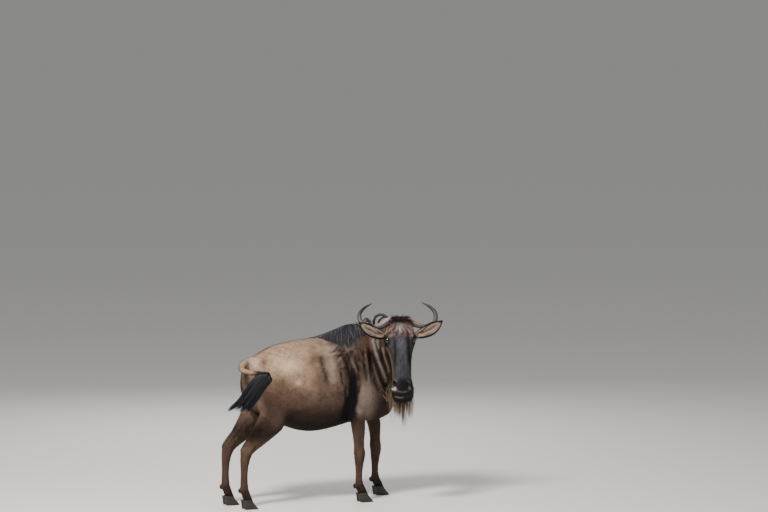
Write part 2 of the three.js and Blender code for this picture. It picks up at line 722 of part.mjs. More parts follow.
// Tassel: from the last third of the tail, trailing back and down behind its flick
const TRAIL = V(-0.47, 0.23, -0.85).normalize();
function tassel() {
  const random = seeded(91);
  const sleeve = TAIL.slice(3).map(([x, y, z, ...radii], i) => [
    x, y, z, ...radii.map((r) => r + Math.min(7, 3 + 4 * i)),
  ]);
  const locks = [solidOf(loft(form(sleeve), 5, 8))];
  const count = 19;
  for (let i = 0; i < count; i++) {
    const place = i / (count - 1);
    const t = THREE.MathUtils.lerp(0.5, 0.985, place);
    const { spot, out } = surfacePoint(tail, t, 2 * Math.PI * random(), -5);
    const { along } = frameAt(tail, t);
    const length = TASSEL_HAIR * (0.72 + 0.3 * random());
    const gather = along.clone().multiplyScalar(-60 * (place - 0.5));
    const wander = V(random() - 0.5, random() - 0.5, random() - 0.5).multiplyScalar(26);
    const curve = new THREE.CubicBezierCurve3(
      spot,
      spot.clone().addScaledVector(along, 26).addScaledVector(out, 12).addScaledVector(TRAIL, 50),
      spot.clone().addScaledVector(TRAIL, length * 0.6).addScaledVector(UP, 14).add(wander),
      spot.clone().addScaledVector(TRAIL, length).add(gather).addScaledVector(wander, 1.4),
    );
    const path = (s) => {
      const tangent = curve.getTangent(s);
      const across = along.clone().addScaledVector(tangent, -along.dot(tangent)).normalize();
      return { spot: curve.getPoint(s), out: across.cross(tangent).normalize() };
    };
    locks.push(lock(path, 13 + 4 * random(), 6));
  }
  return join(locks);
}

const SCRAP = 2000; // a loose chip smaller than this many cubic millimetres is dropped
const model = new THREE.Group();
const finish = (color, roughness) =>
  new THREE.MeshStandardMaterial({ color, roughness, metalness: 0 });
const HIDE = finish(0x6b564a, 0.75);
const DARK_HIDE = finish(0x3d302a, 0.75);
const HORN_SHEATH = finish(0x5a544e, 0.45);
const BLACK_HAIR = finish(0x15161a, 0.6);
const PALE_HAIR = finish(0xa08566, 0.7);
const HOOF = finish(0x1d1a18, 0.5);
const EYEBALL = finish(0x120d0a, 0.1);

function add(name, solid, material) {
  const mesh = new THREE.Mesh(geometryOf(solid), material);
  mesh.name = name;
  model.add(mesh);
}

for (const piece of body.decompose()) {
  if (piece.volume() < SCRAP) continue;
  const middle = middleOf(piece);
  const [name] = Object.entries(LABELS).sort(
    (a, b) => a[1].distanceTo(middle) - b[1].distanceTo(middle),
  )[0];
  add(name, piece, /leg/.test(name) ? DARK_HIDE : HIDE);
}
for (const [side, word] of [[-1, "right"], [1, "left"]]) {
  add("horn_" + word, hornSolid(side), HORN_SHEATH);
  add("eye_" + word, solidOf(placed(ball(eyeAt(side), EYE_RADIUS))), EYEBALL);
}
for (const leg of LEGS)
  for (const [turn, word] of [[-1, "right"], [1, "left"]])
    add("claw_" + leg.name + "_" + word, claw(leg, turn), HOOF);

// Hair clears the flesh and the horns by the gap, and only its largest closed surface is kept.
const hair = {
  mane_withers: [
    maneOver(trunk, {
      from: whereX(trunk, -205),
      to: whereX(trunk, 150),
      count: 19,
      seed: 7,
      thin: 0.7,
    }),
    BLACK_HAIR,
  ],
  mane_neck: [maneOver(neck, { from: 0.3, to: 0.93, count: 12, seed: 19 }), BLACK_HAIR],
  beard_chin: [beard(), PALE_HAIR],
  beard_throat: [fringe(), PALE_HAIR],
  forelock: [forelock(), DARK_HIDE],
  tail_tassel: [tassel(), BLACK_HAIR],
};
const grown = join([trunkFlesh(GAP), neckFlesh(GAP), headFlesh(GAP), tailFlesh(GAP)]);
const horns = join([hornSolid(-1, GAP), hornSolid(1, GAP)]);
let taken = join([grown, horns]);
for (const [name, [solid, material]] of Object.entries(hair)) {
  add(name, largest(solid.subtract(taken)), material);
  taken = taken.add(solid);
}

// The middle of the base at the origin
const box = new THREE.Box3().setFromObject(model);
model.position.set(-(box.min.x + box.max.x) / 2, -(box.min.y + box.max.y) / 2, -box.min.z);

export default model;
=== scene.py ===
# %% [markdown]
# # A life-size wildebeest, from a plain solid to a finished animal
# The solids made before this script hold the true size and pose. Here they are dressed: one
# smooth skin goes over all the flesh, then the horns, eyes and hooves are made again finer, and
# at last the hair is laid on, short over the body and long on the neck, chin and tail.
# Sizes are the same millimetres that the solids were drawn in, turned into metres at one place.

import math

import bmesh
import bpy
import numpy as np
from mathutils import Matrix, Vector
from mathutils.bvhtree import BVHTree


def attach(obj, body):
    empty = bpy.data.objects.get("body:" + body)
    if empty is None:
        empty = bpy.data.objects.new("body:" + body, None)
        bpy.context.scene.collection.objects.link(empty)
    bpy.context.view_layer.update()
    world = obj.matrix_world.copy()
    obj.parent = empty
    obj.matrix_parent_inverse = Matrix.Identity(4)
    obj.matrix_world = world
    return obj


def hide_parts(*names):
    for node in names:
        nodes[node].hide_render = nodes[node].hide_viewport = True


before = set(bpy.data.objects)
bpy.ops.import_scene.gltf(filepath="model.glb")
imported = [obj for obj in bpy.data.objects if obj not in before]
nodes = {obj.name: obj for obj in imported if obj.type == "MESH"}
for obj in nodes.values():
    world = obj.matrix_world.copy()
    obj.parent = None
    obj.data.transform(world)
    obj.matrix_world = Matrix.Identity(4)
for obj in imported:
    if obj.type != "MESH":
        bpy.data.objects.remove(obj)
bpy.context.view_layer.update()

# %% [markdown]
# ## The drawing's own millimetres
# The animal was drawn with the middle of its chest near zero. The solids were then moved so
# that the middle of their box is over the origin. One pair of helpers goes both ways.

# %% Millimetres to metres
DRAWING_SHIFT = np.array([280.21, 160.90, 0.0])


def metres(points):
    return (np.asarray(points, dtype=float) + DRAWING_SHIFT) / 1000.0


def drawing(points):
    return np.asarray(points, dtype=float) * 1000.0 - DRAWING_SHIFT


def unit(v):
    v = np.asarray(v, dtype=float)
    return v / np.maximum(np.linalg.norm(v, axis=-1, keepdims=True), 1e-9)


def smooth(value, low, high):
    t = np.clip((np.asarray(value, dtype=float) - low) / (high - low), 0, 1)
    return t * t * (3 - 2 * t)


# %% [markdown]
# ## The head's own frame
# The head is turned back and hangs down, so nothing on it is level. All that is on the head is
# measured along three directions of its own: from the poll to the lips, to the head's left, and
# out of the face. A left ear and a right ear are then the same numbers with one sign turned.

# %% The head's own frame
POLL = np.array([182.0, -395.0, 1242.0])
HEAD_YAW = math.radians(-107)
HEAD_PITCH = math.radians(70)
facing = np.array([math.cos(HEAD_YAW), math.sin(HEAD_YAW), 0])
head_left = np.cross([0, 0, 1], facing)
head_along = facing * math.cos(HEAD_PITCH) - np.array([0, 0, math.sin(HEAD_PITCH)])
head_out = np.cross(head_along, head_left)
HEAD_ROLL = math.radians(0.5)
head_along, head_left = (
    head_along * math.cos(HEAD_ROLL) + head_left * math.sin(HEAD_ROLL),
    head_left * math.cos(HEAD_ROLL) - head_along * math.sin(HEAD_ROLL),
)
HEAD_AXES = np.array([head_along, head_left, head_out])


def from_head(points):
    return POLL + np.asarray(points, dtype=float) @ HEAD_AXES


def to_head(points):
    return (np.asarray(points, dtype=float) - POLL) @ HEAD_AXES.T


# %% [markdown]
# ## Camera, light and floor
# A long lens from far off shows the animal as the photograph does, a little from above and a
# little from behind its right shoulder. The sun of the photograph becomes one strong light, high on
# the left. Two larger and weaker ones and a pale world fill the shadows, as in a studio.

# %% Camera
AZIMUTH = math.radians(-25)
ELEVATION = math.radians(5)
PICTURE = (768, 512)
DISTANCE = 28.6
LENS = 200.1
SENSOR = 36.0
PIXEL = 1000 * DISTANCE * SENSOR / LENS / PICTURE[0]
AIM_ACROSS, AIM_UP = 228.0, 1631.0
view_right = np.array([math.cos(AZIMUTH), math.sin(AZIMUTH), 0])
view_back = np.array([
    math.sin(AZIMUTH) * math.cos(ELEVATION),
    -math.cos(AZIMUTH) * math.cos(ELEVATION),
    math.sin(ELEVATION),
])
view_up = np.cross(view_back, view_right)
aim = metres(view_right * AIM_ACROSS + view_up * AIM_UP)
camera_data = bpy.data.cameras.new("camera")
camera_data.lens = LENS
camera_data.sensor_width = SENSOR
camera_data.clip_end = 400
camera = bpy.data.objects.new("camera", camera_data)
camera.location = Vector(aim + view_back * DISTANCE)
camera.rotation_euler = Vector(view_back).to_track_quat("Z", "Y").to_euler()
bpy.context.collection.objects.link(camera)
bpy.context.scene.camera = camera
print("camera at", [round(c, 2) for c in camera.location])


def seen(p):
    """Where each point of the drawing falls in the picture, in pixels."""
    nearer = 1000 * DISTANCE / (1000 * DISTANCE - p @ view_back)
    across = (p @ view_right - AIM_ACROSS) * nearer / PIXEL
    up = (p @ view_up - AIM_UP) * nearer / PIXEL
    return np.stack([PICTURE[0] / 2 + across, PICTURE[1] / 2 - up], axis=1)


def placed(spots, depth):
    """Points of the drawing that fall on these spots, so far towards the camera."""
    spots = np.asarray(spots, dtype=float)
    nearer = 1 - depth / (1000 * DISTANCE)
    across = AIM_ACROSS + (spots[..., 0] - PICTURE[0] / 2) * PIXEL * nearer
    up = AIM_UP - (spots[..., 1] - PICTURE[1] / 2) * PIXEL * nearer
    depth = np.broadcast_to(depth, across.shape)
    return (across[..., None] * view_right + up[..., None] * view_up + depth[..., None] * view_back)

# %% Lights and world
def area_light(name, place, target, size, watts, colour):
    data = bpy.data.lights.new(name, "AREA")
    data.size = size
    data.energy = watts
    data.color = colour
    lamp = bpy.data.objects.new(name, data)
    lamp.location = Vector(place)
    lamp.rotation_euler = (Vector(place) - Vector(target)).to_track_quat("Z", "Y").to_euler()
    bpy.context.collection.objects.link(lamp)


middle = (0, 0, 0.7)
area_light("key", (-3.4, -3.0, 5.4), middle, 1.3, 900, (1.0, 0.95, 0.87))
area_light("fill", (4.5, -5.0, 2.6), middle, 4.0, 80, (0.90, 0.95, 1.0))
area_light("rim", (1.5, 4.5, 3.6), middle, 3.0, 150, (1.0, 0.98, 0.95))
world = bpy.data.worlds.new("pale")
bpy.context.scene.world = world
world.use_nodes = True
background = world.node_tree.nodes["Background"]
background.inputs["Color"].default_value = (0.86, 0.87, 0.88, 1)
background.inputs["Strength"].default_value = 0.46
print("lights:", [light.name for light in bpy.data.lights])

# %% [markdown]
# ## Meshes and materials from arrays
# The animal has over a million faces, and a Python loop over them would take minutes. Points and
# triangles are therefore worked out as whole numpy arrays and handed to Blender in one go. The
# colours are kept on the points, in an attribute that the materials read.

# %% Mesh helpers
def mesh_object(name, points, triangles, material, body="root"):
    mesh = bpy.data.meshes.new(name)
    points = np.ascontiguousarray(points, dtype=np.float32)
    triangles = np.ascontiguousarray(triangles, dtype=np.int32)
    mesh.vertices.add(len(points))
    mesh.vertices.foreach_set("co", points.ravel())
    mesh.loops.add(3 * len(triangles))
    mesh.loops.foreach_set("vertex_index", triangles.ravel())
    mesh.polygons.add(len(triangles))
    mesh.polygons.foreach_set("loop_start", np.arange(0, 3 * len(triangles), 3, dtype=np.int32))
    mesh.polygons.foreach_set("use_smooth", np.ones(len(triangles), dtype=bool))
    mesh.update()
    mesh.materials.append(material)
    thing = bpy.data.objects.new(name, mesh)
    bpy.context.collection.objects.link(thing)
    if body:
        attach(thing, body)
    return thing


def taken(items, name, width, kind=np.float32):
    """One value of every item of a mesh, as the rows of an array."""
    values = np.empty(width * len(items), dtype=kind)
    items.foreach_get(name, values)
    return values.reshape(-1, width)


def evaluated(thing):
    """A mesh of its own from what the object's modifiers make."""
    graph = bpy.context.evaluated_depsgraph_get()
    return bpy.data.meshes.new_from_object(thing.evaluated_get(graph))


def paint(thing, colours):
    layer = thing.data.color_attributes.new("coat", "FLOAT_COLOR", "POINT")
    rgba = np.ones((len(colours), 4), dtype=np.float32)
    rgba[:, :3] = colours
    layer.data.foreach_set("color", rgba.ravel())

# %% Material helpers
def plain_material(name, roughness):
    material = bpy.data.materials.new(name)
    material.use_nodes = True
    shader = material.node_tree.nodes["Principled BSDF"]
    shader.inputs["Roughness"].default_value = roughness
    return material, material.node_tree, shader


def add(tree, kind, **settings):
    node = tree.nodes.new(kind)
    for key, value in settings.items():
        setattr(node, key, value)
    return node

# %% [markdown]
# ## One grain for three materials
# Hide, horn and hoof are all rough on a scale of a millimetre or less, which is too fine for the
# mesh. A noise that tips the shading does it, and as a group with named inputs it is built once
# and shared, with another scale and stretch in each material.

# %% Fine grain, one shader group for hide, horn and hoof
def wired(tree, links):
    for start, outlet, end, inlet in links:
        tree.links.new(start.outputs[outlet], end.inputs[inlet])


def grain_group():
    group = bpy.data.node_groups.new("Fine grain", "ShaderNodeTree")
    for name, kind in (("Scale", "Float"), ("Stretch", "Vector"), ("Strength", "Float"),
                       ("Height", "Float")):
        group.interface.new_socket(name, in_out="INPUT", socket_type="NodeSocket" + kind)
    group.interface.new_socket("Normal", in_out="OUTPUT", socket_type="NodeSocketVector")
    group.interface.new_socket("Value", in_out="OUTPUT", socket_type="NodeSocketFloat")
    given, given_out = add(group, "NodeGroupInput"), add(group, "NodeGroupOutput")
    place = add(group, "ShaderNodeTexCoord")
    mapping = add(group, "ShaderNodeMapping")
    noise = add(group, "ShaderNodeTexNoise")
    noise.inputs["Detail"].default_value = 5
    bump = add(group, "ShaderNodeBump")
    wired(group, [
        (place, "Object", mapping, "Vector"), (given, "Stretch", mapping, "Scale"),
        (mapping, "Vector", noise, "Vector"), (given, "Scale", noise, "Scale"),
        (noise, "Fac", bump, "Height"), (given, "Strength", bump, "Strength"),
        (given, "Height", bump, "Distance"), (bump, "Normal", given_out, "Normal"),
        (noise, "Fac", given_out, "Value"),
    ])
    return group

# %% Grain and coat colours in a material
GRAIN = grain_group()


def grained(tree, shader, scale, stretch, strength, height):
    """Puts the grain in a material, with that material's own values."""
    grain = add(tree, "ShaderNodeGroup", node_tree=GRAIN)
    for name, value in (("Scale", scale), ("Stretch", stretch), ("Strength", strength),
                        ("Height", height)):
        grain.inputs[name].default_value = value
    tree.links.new(grain.outputs["Normal"], shader.inputs["Normal"])
    return grain


def coat_coloured(tree, shader):
    """The base colour comes from the mesh's own coat colours."""
    attribute = add(tree, "ShaderNodeAttribute", attribute_type="GEOMETRY", attribute_name="coat")
    tree.links.new(attribute.outputs["Color"], shader.inputs["Base Color"])

# %% Floor
floor_material, _, floor_shader = plain_material("floor", 0.85)
floor_shader.inputs["Base Color"].default_value = (0.62, 0.61, 0.59, 1)
floor_mesh = bpy.data.meshes.new("floor")
FLOOR_REACH = 300.0
corners = [(x * FLOOR_REACH, y * FLOOR_REACH, 0) for x, y in ((-1, -1), (1, -1), (1, 1), (-1, 1))]
floor_mesh.from_pydata(corners, [], [(0, 1, 2, 3)])
floor_mesh.materials.append(floor_material)
floor = bpy.data.objects.new("floor", floor_mesh)
bpy.context.collection.objects.link(floor)

# %% [markdown]
# ## One skin
# A living animal has no seams, but its solids are a set of parts that almost touch. Boolean
# unions of so many curved parts often fail, so each is swollen by about a millimetre, to close
# the thin gaps, and all are remeshed into one surface of small squares. The surface is then
# smoothed, most on the trunk and hardly at all on the ears and shins.

# %% Join the flesh
LEGS = [f"{leg}_{side}_{end}" for leg in ("foreleg", "hindleg") for side in ("right", "left")
        for end in ("upper", "lower")]
FLESH = ["torso", "neck", "head", "ear_left", "ear_right", "tail_stem"] + LEGS
VOXEL = 0.0036
SWELL = 0.0011


def welded(name, grow):
    piece = bmesh.new()
    piece.from_mesh(nodes[name].data)
    bmesh.ops.remove_doubles(piece, verts=piece.verts, dist=1e-6)
    piece.normal_update()
    for vertex in piece.verts:
        vertex.co += vertex.normal * grow
    bmesh.ops.triangulate(piece, faces=piece.faces)
    piece.verts.index_update()
    points = np.array([v.co for v in piece.verts])
    triangles = np.array([[v.index for v in f.verts] for f in piece.faces])
    piece.free()
    return points, triangles


def joined(names, grow):
    points, triangles, owner, start = [], [], [], 0
    for k, name in enumerate(names):
        p, t = welded(name, grow)
        points.append(p)
        triangles.append(t + start)
        owner.append(np.full(len(t), k))
        start += len(p)
    return np.concatenate(points), np.concatenate(triangles), np.concatenate(owner)


def remeshed(points, triangles, voxel):
    scratch_material = bpy.data.materials.new("scratch")
    thing = mesh_object("scratch", points, triangles, scratch_material, body=None)
    remesh = thing.modifiers.new("squares", "REMESH")
    remesh.mode = "VOXEL"
    remesh.voxel_size = voxel
    mesh = evaluated(thing)
    bpy.data.objects.remove(thing)
    bpy.data.materials.remove(scratch_material)
    return mesh


flesh_points, flesh_triangles, flesh_owner = joined(FLESH, SWELL)
flesh_tree = BVHTree.FromPolygons(flesh_points.tolist(), flesh_triangles.tolist())
squares = remeshed(flesh_points, flesh_triangles, VOXEL)
print("one surface of", len(squares.polygons), "squares")

# %% Smooth it by how thick the flesh is
def mesh_points(mesh):
    return taken(mesh.vertices, "co", 3).astype(float)


def mesh_edges(mesh):
    return taken(mesh.edges, "vertices", 2, np.int32)


def edges_at(ends, number):
    """How many edges meet at each of the points."""
    return np.bincount(ends.ravel(), minlength=number).astype(float)


def neighbour_mean(values, ends, count):
    total = np.empty_like(values)
    for k in range(values.shape[1]):
        total[:, k] = (
            np.bincount(ends[:, 0], values[ends[:, 1], k], len(values))
            + np.bincount(ends[:, 1], values[ends[:, 0], k], len(values))
        )
    return total / count[:, None]


def relaxed(values, ends, count, share, rounds):
    for step in range(rounds):
        values = values + share * (neighbour_mean(values, ends, count) - values)
    return values


SOFTNESS = {"torso": 1.0, "neck": 0.9, "head": 0.07, "ear_left": 0.04, "ear_right": 0.04,
            "tail_stem": 0.05}
for name in LEGS:
    SOFTNESS[name] = 0.3 if name.endswith("upper") else 0.06

skin_points = mesh_points(squares)
ends = mesh_edges(squares)
count = edges_at(ends, len(skin_points))
owner = np.empty(len(skin_points), dtype=int)
for i, point in enumerate(skin_points):
    owner[i] = flesh_owner[flesh_tree.find_nearest(point)[2]]
soft = np.array([SOFTNESS[name] for name in FLESH])[owner][:, None]
soft = relaxed(soft, ends, count, 1.0, 12)
SMOOTHING = 0.6
before = skin_points.copy()
skin_points = relaxed(skin_points, ends, count, SMOOTHING * soft, 110)
# What the smoothing took away in the large is given back, so that the legs keep their girth
skin_points += relaxed(before - skin_points, ends, count, SMOOTHING * soft, 60)
print("smoothed by at most", round(1000 * np.abs(skin_points - before).max(), 1), "mm")
squares.vertices.foreach_set("co", skin_points.astype(np.float32).ravel())
squares.update()

# %% [markdown]
# ## Fewer faces on the body
# A fine mesh is only needed on the head. A second, coarser remesh would leave a seam at the neck,
# so the Decimate modifier merges the faces to about a fifth instead, with a weight for each point
# that keeps the head and ears nearly whole.

# %% Fewer faces on the body
KEPT_SHARE = 0.21
skin_material, skin_tree, skin_shader = plain_material("hide", 0.62)
skin = bpy.data.objects.new("skin", squares)
squares.name = "skin"
bpy.context.collection.objects.link(skin)
group = skin.vertex_groups.new(name="body")
head_part = np.isin(owner, [FLESH.index(n) for n in ("head", "ear_left", "ear_right")])
body_share = (~head_part).astype(float)[:, None]
for step in range(6):
    body_share = neighbour_mean(body_share, ends, count)
for level in np.linspace(0, 1, 11):
    chosen = np.nonzero(np.abs(body_share[:, 0] - level) <= 0.05)[0]
    group.add(chosen.tolist(), float(level), "REPLACE")
thin = skin.modifiers.new("fewer", "DECIMATE")
thin.ratio = KEPT_SHARE
thin.vertex_group = "body"
thin.use_collapse_triangulate = True
lighter = evaluated(skin)
skin.modifiers.clear()
skin.vertex_groups.clear()
skin.data = lighter
print("skin:", len(lighter.polygons), "faces")
lighter.materials.clear()
lighter.materials.append(skin_material)

# %% [markdown]
# ## The head's own detail
# Lids, nostrils, lips and folds are only a few millimetres across, so the faces round them are
# split once more before they are shaped. A groove or a fold is a line on the surface: each
# point near the line moves out or in, by a bell curve of how far it is from the line.

# %% Finer faces on the face
SHORTEST_EDGE = 0.0015
fine = bmesh.new()
fine.from_mesh(lighter)
bmesh.ops.triangulate(fine, faces=fine.faces)


def split_where(test):
    fine.verts.index_update()
    where = np.array([v.co for v in fine.verts])
    chosen = test(to_head(drawing(where)))
    edges = [e for e in fine.edges if chosen[e.verts[0].index] and chosen[e.verts[1].index]
             and e.calc_length() > SHORTEST_EDGE]
    bmesh.ops.subdivide_edges(fine, edges=edges, cuts=1)
    bmesh.ops.triangulate(fine, faces=fine.faces)


EYE = np.array([138.0, 82.0, -30.0])
EYE_RADIUS = 20.0


def mirrored(q):
    return np.stack([q[:, 0], np.abs(q[:, 1]), q[:, 2]], axis=1)


def fine_places(q):
    q = mirrored(q)
    eye = np.linalg.norm(q - EYE, axis=1) < 50
    muzzle = (q[:, 0] > 390) & (q[:, 0] < 570) & (q[:, 1] < 90) & (q[:, 2] > -112) & (q[:, 2] < 40)
    return eye | muzzle


split_where(fine_places)
fine.to_mesh(lighter)
fine.free()
lighter.polygons.foreach_set("use_smooth", np.ones(len(lighter.polygons), dtype=bool))
print("skin with a finer face:", len(lighter.polygons), "faces")

# %% Lines that raise or sink the skin
def line_distance(points, path):
    path = np.asarray(path, dtype=float)
    best = np.full(len(points), 1e9)
    for a, b in zip(path[:-1], path[1:]):
        along = b - a
        t = np.clip((points - a) @ along / max(along @ along, 1e-9), 0, 1)
        best = np.minimum(best, np.linalg.norm(points - a - t[:, None] * along, axis=1))
    return best


def side_line(p, path):
    """How far each point is, seen from the animal's side, from a line of (x, z) places."""
    return line_distance(p * [1, 0, 1], [(x, 0, z) for x, z in path])


def bell(distance, width):
    return np.exp(-((distance / width) ** 2))


def mesh_normals(mesh):
    return taken(mesh.vertex_normals, "vector", 3).astype(float)

# %% [markdown]
# ## Folds and stripes of the neck and shoulder
# The skin of the neck and shoulder hangs in upright folds, and the hair in them is almost black:
# this is the brindle that the kind is named for, and painted shade in the grooves darkens it more.
# The pale lines between are the ridges, lightened partly by painted highlight. Noise alone gives
# stripes of the right sort in the wrong places. So the main ones are lines in pixels of the picture,
# and the camera says where each point of the skin is seen. The same lines sink the skin and darken
# it.

# %% The folds of the near side, as they are seen in the picture
# Dark lines: brindle hair, with the painted shade of the grooves in the same colour
DARK_FOLDS = [
    ([(321, 357), (322.5, 363), (324, 369), (326, 376), (327.5, 382)], 1.3),
    ([(336, 350), (338.5, 357), (341, 366), (342, 374), (343, 382)], 0.6),
    ([(341.5, 348), (344, 355), (347, 362), (348.5, 370), (349.5, 378)], 0.9),
    ([(345, 350), (348.5, 357), (351, 364), (352.5, 372)], 1.0),
    ([(350, 345), (352, 351), (354.5, 358), (357.5, 365), (359, 372), (358.5, 380)], 0.9),
    ([(354.5, 342), (357, 348), (358.5, 355), (360, 362)], 0.7),
    ([(363.5, 350), (364.5, 358), (365, 366), (366, 373), (367, 379)], 0.9),
    ([(369.5, 350), (370.5, 357), (371, 365), (372.5, 374), (375.5, 383), (378.5, 391)], 1.3),
    ([(371, 352), (374, 358), (376.5, 364), (379, 371), (381, 377), (383.5, 383), (387, 388)], 1.7),
    ([(375.5, 341), (378, 350), (381, 358), (384.5, 366), (387, 373), (388.5, 381)], 1.0),
    ([(380, 342), (382, 352), (384.5, 361), (388, 370), (389.5, 377)], 0.8),
    ([(381, 381), (383, 388), (385, 396)], 0.8),
    ([(387, 383), (388, 392), (386, 402)], 1.4),
    ([(333.5, 352), (336.5, 358), (339.5, 364)], 0.7),
    ([(337.5, 347), (341, 354), (344.5, 361), (347.5, 368), (349.5, 375)], 0.8),
    ([(347, 343), (350, 350), (353, 356), (356, 362), (358, 369)], 0.8),
    ([(346.5, 384), (346, 391), (345, 398)], 0.8),
    ([(359, 372), (360.3, 382), (359.5, 392)], 0.9),
]
# Pale lines: the ridges between the folds, lightened partly by painted highlight
PALE_FOLDS = [
    ([(344, 343), (347, 350), (350, 357), (353, 363), (356.5, 370)], 0.8),
    ([(351, 344), (353.5, 351)], 0.7),
    ([(365, 349), (365.5, 354)], 0.6),
    ([(366.8, 360), (367.7, 368), (368.3, 375), (368.8, 382)], 0.9),
    ([(374, 340), (375, 346), (376.5, 352), (379, 360), (382, 368), (384.3, 375), (386.5, 381)], 1.1),
    ([(377.8, 340), (379, 347)], 0.8),
    ([(374, 363), (375.5, 370), (377, 377), (379.5, 384)], 0.8),
    ([(347.3, 390), (347, 397)], 0.5),
    ([(338.5, 352), (342, 359), (344, 364)], 0.8),
]
DARK_WIDENED, PALE_WIDENED = 1.35, 1.15
# The black band behind the shoulder, dark hair with painted shade of its crease: rows of the picture,
# its middle there and half its width
BAND_ROWS = [362, 372, 382, 392, 402, 410, 418, 430]
BAND_MIDDLE = [353, 353, 353.4, 353.6, 351, 349, 349, 349]
BAND_HALF = [0.6, 2.5, 4.0, 5.2, 6.2, 7.2, 8.6, 9.6]


def on_near_side(p):
    """The trunk is alike on both sides, so its far side is looked up on the near one."""
    return np.stack([p[:, 0], -np.abs(p[:, 1]), p[:, 2]], axis=1)


def folds_at(spots):
    dark = np.zeros(len(spots))
    pale = np.zeros(len(spots))
    for path, width in DARK_FOLDS:
        dark = np.maximum(dark, bell(line_distance(spots, path), DARK_WIDENED * width))
    for path, width in PALE_FOLDS:
        pale = np.maximum(pale, bell(line_distance(spots, path), PALE_WIDENED * width))
    return dark, pale

# %% [markdown]
# ## Muscle, tendon and bone under the skin
# Under short hair one sees the hock, the knee, the cord of the tendons behind the shin, the ribs
# and the edge of the shoulder. They could be sculpted by hand, but a script can't brush. Each is
# a line with a width and a height in millimetres, drawn in the part's own measures, so that one
# list does for the left leg and the right one.

# %% Where the middle of each leg is
HIND_AXIS = [(-600, 820), (-602, 705), (-640, 605), (-702, 525), (-762, 450), (-812, 388),
             (-830, 338), (-836, 276), (-838, 180), (-840, 140), (-828, 96), (-808, 60), (-800, 0)]
FORE_AXIS = [(30, 760), (6, 660), (0, 572), (4, 480), (9, 385), (12, 318), (12, 270), (10, 220),
             (8, 145), (7, 125), (22, 88), (42, 56), (50, 0)]
LEG_PLACES = {"foreleg_right": (FORE_AXIS, -1, 128, 0), "foreleg_left": (FORE_AXIS, 1, 128, 236),
              "hindleg_right": (HIND_AXIS, -1, 116, 20), "hindleg_left": (HIND_AXIS, 1, 116, -16)}


def along_leg(p, leg):
    """Each point as: ahead of the leg's middle, out from it, and height."""
    axis, side, spread, reach = LEG_PLACES[leg]
    xs, zs = np.array(axis[::-1], dtype=float).T
    swing = reach * np.sin(math.pi / 2 * np.clip((830 - p[:, 2]) / 370, 0, 1))
    ahead = p[:, 0] - np.interp(p[:, 2], zs, xs) - swing
    return np.stack([ahead, side * p[:, 1] - spread, p[:, 2]], axis=1)

# %% Shape the legs: (line of places ahead, out, height), width and lift in mm
def both_sides(path, width, height):
    """The same line on the outer and on the inner side of the leg."""
    return [(path, width, height), ([(x, -y, z) for x, y, z in path], width, height)]


HOCK_FOLDS = [
    ([(-46, 0, 436), (-44, 0, 400)], 15, 7),
    ([(-44, 0, 470), (-62, 0, 560)], 12, 5),
    *both_sides([(-20, 26, 446), (-26, 34, 540)], 12, -7),
    ([(30, 0, 372), (26, 0, 350)], 14, 3),
    *both_sides([(-4, 30, 400), (-2, 28, 372)], 15, 4),
    *both_sides([(-9, 22, 320), (-9, 22, 170)], 6.5, -3.2),
    ([(-24, 0, 340), (-24, 0, 170)], 8, 2.5),
    *both_sides([(4, 26, 142), (0, 26, 136)], 13, 3),
    ([(-22, 0, 104), (-20, 0, 84)], 11, -3),
    ([(52, 20, 590), (30, 30, 500)], 20, -4),
]
KNEE_FOLDS = [
    ([(34, 0, 335), (35, 0, 305)], 16, 4),
    ([(-34, 0, 350), (-34, 0, 338)], 12, 6),
    ([(22, 0, 372), (24, 10, 362)], 10, -2.5),
    ([(24, 0, 270), (24, 8, 262)], 10, -2.5),
    *both_sides([(0, 34, 322), (0, 34, 306)], 15, 3),
    ([(6, 44, 560), (4, 34, 420)], 11, -3.5),
    ([(34, 26, 590), (24, 28, 450)], 16, 4),
    ([(-36, 26, 590), (-26, 24, 450)], 16, 4),
    *both_sides([(-9, 22, 262), (-9, 22, 165)], 6.5, -3.2),
    ([(-24, 0, 280), (-24, 0, 170)], 8, 2.5),
    *both_sides([(4, 26, 136), (0, 26, 130)], 13, 3),
    ([(-22, 0, 100), (-18, 0, 82)], 11, -3),
]


def relief(points, folds):
    """How far the lines lift each point, in mm."""
    lift = np.zeros(len(points))
    for path, width, height in folds:
        lift += height * bell(line_distance(points, path), width)
    return lift


def shape_legs(p, parts):
    lift = np.zeros(len(p))
    for leg in LEG_PLACES:
        share = parts[leg + "_upper"] + parts[leg + "_lower"]
        folds = HOCK_FOLDS if leg.startswith("hind") else KNEE_FOLDS
        lift += share * relief(along_leg(p, leg), folds)
    return lift

# %% Shape the trunk and neck: the line seen from the side, width and lift in mm
SIDE_FOLDS = [
    ([(-60, 1010), (-72, 900), (-84, 760), (-88, 640), (-70, 570)], 24, -7),
    ([(-20, 900), (0, 800), (14, 700), (10, 610)], 42, 6),
    ([(118, 760), (124, 680), (118, 610)], 30, 4),
    ([(-500, 560), (-470, 622), (-436, 656), (-386, 680), (-345, 650)], 15, 5),
    ([(-520, 540), (-490, 596), (-452, 632)], 13, -6),
    ([(-560, 940), (-540, 860), (-512, 760), (-490, 680)], 30, -5),
    ([(-640, 900), (-650, 800), (-640, 700)], 55, 7),
    ([(-700, 760), (-690, 660), (-690, 600)], 16, -5),
    ([(-742, 800), (-740, 700), (-730, 620)], 26, 5),
    ([(-520, 1040), (-548, 1004)], 34, 7),
    ([(-655, 1012), (-705, 986)], 26, 6),
    ([(-440, 960), (-420, 880), (-400, 800)], 46, -8),
    ([(-330, 1000), (-300, 860), (-300, 720)], 60, 5),
]
RIBS, FIRST_RIB, RIB_STEP, RIB_HEIGHT = 8, -120, 36, 1.6
PALE_RISE, DARK_SINK = 3.5, 5.0


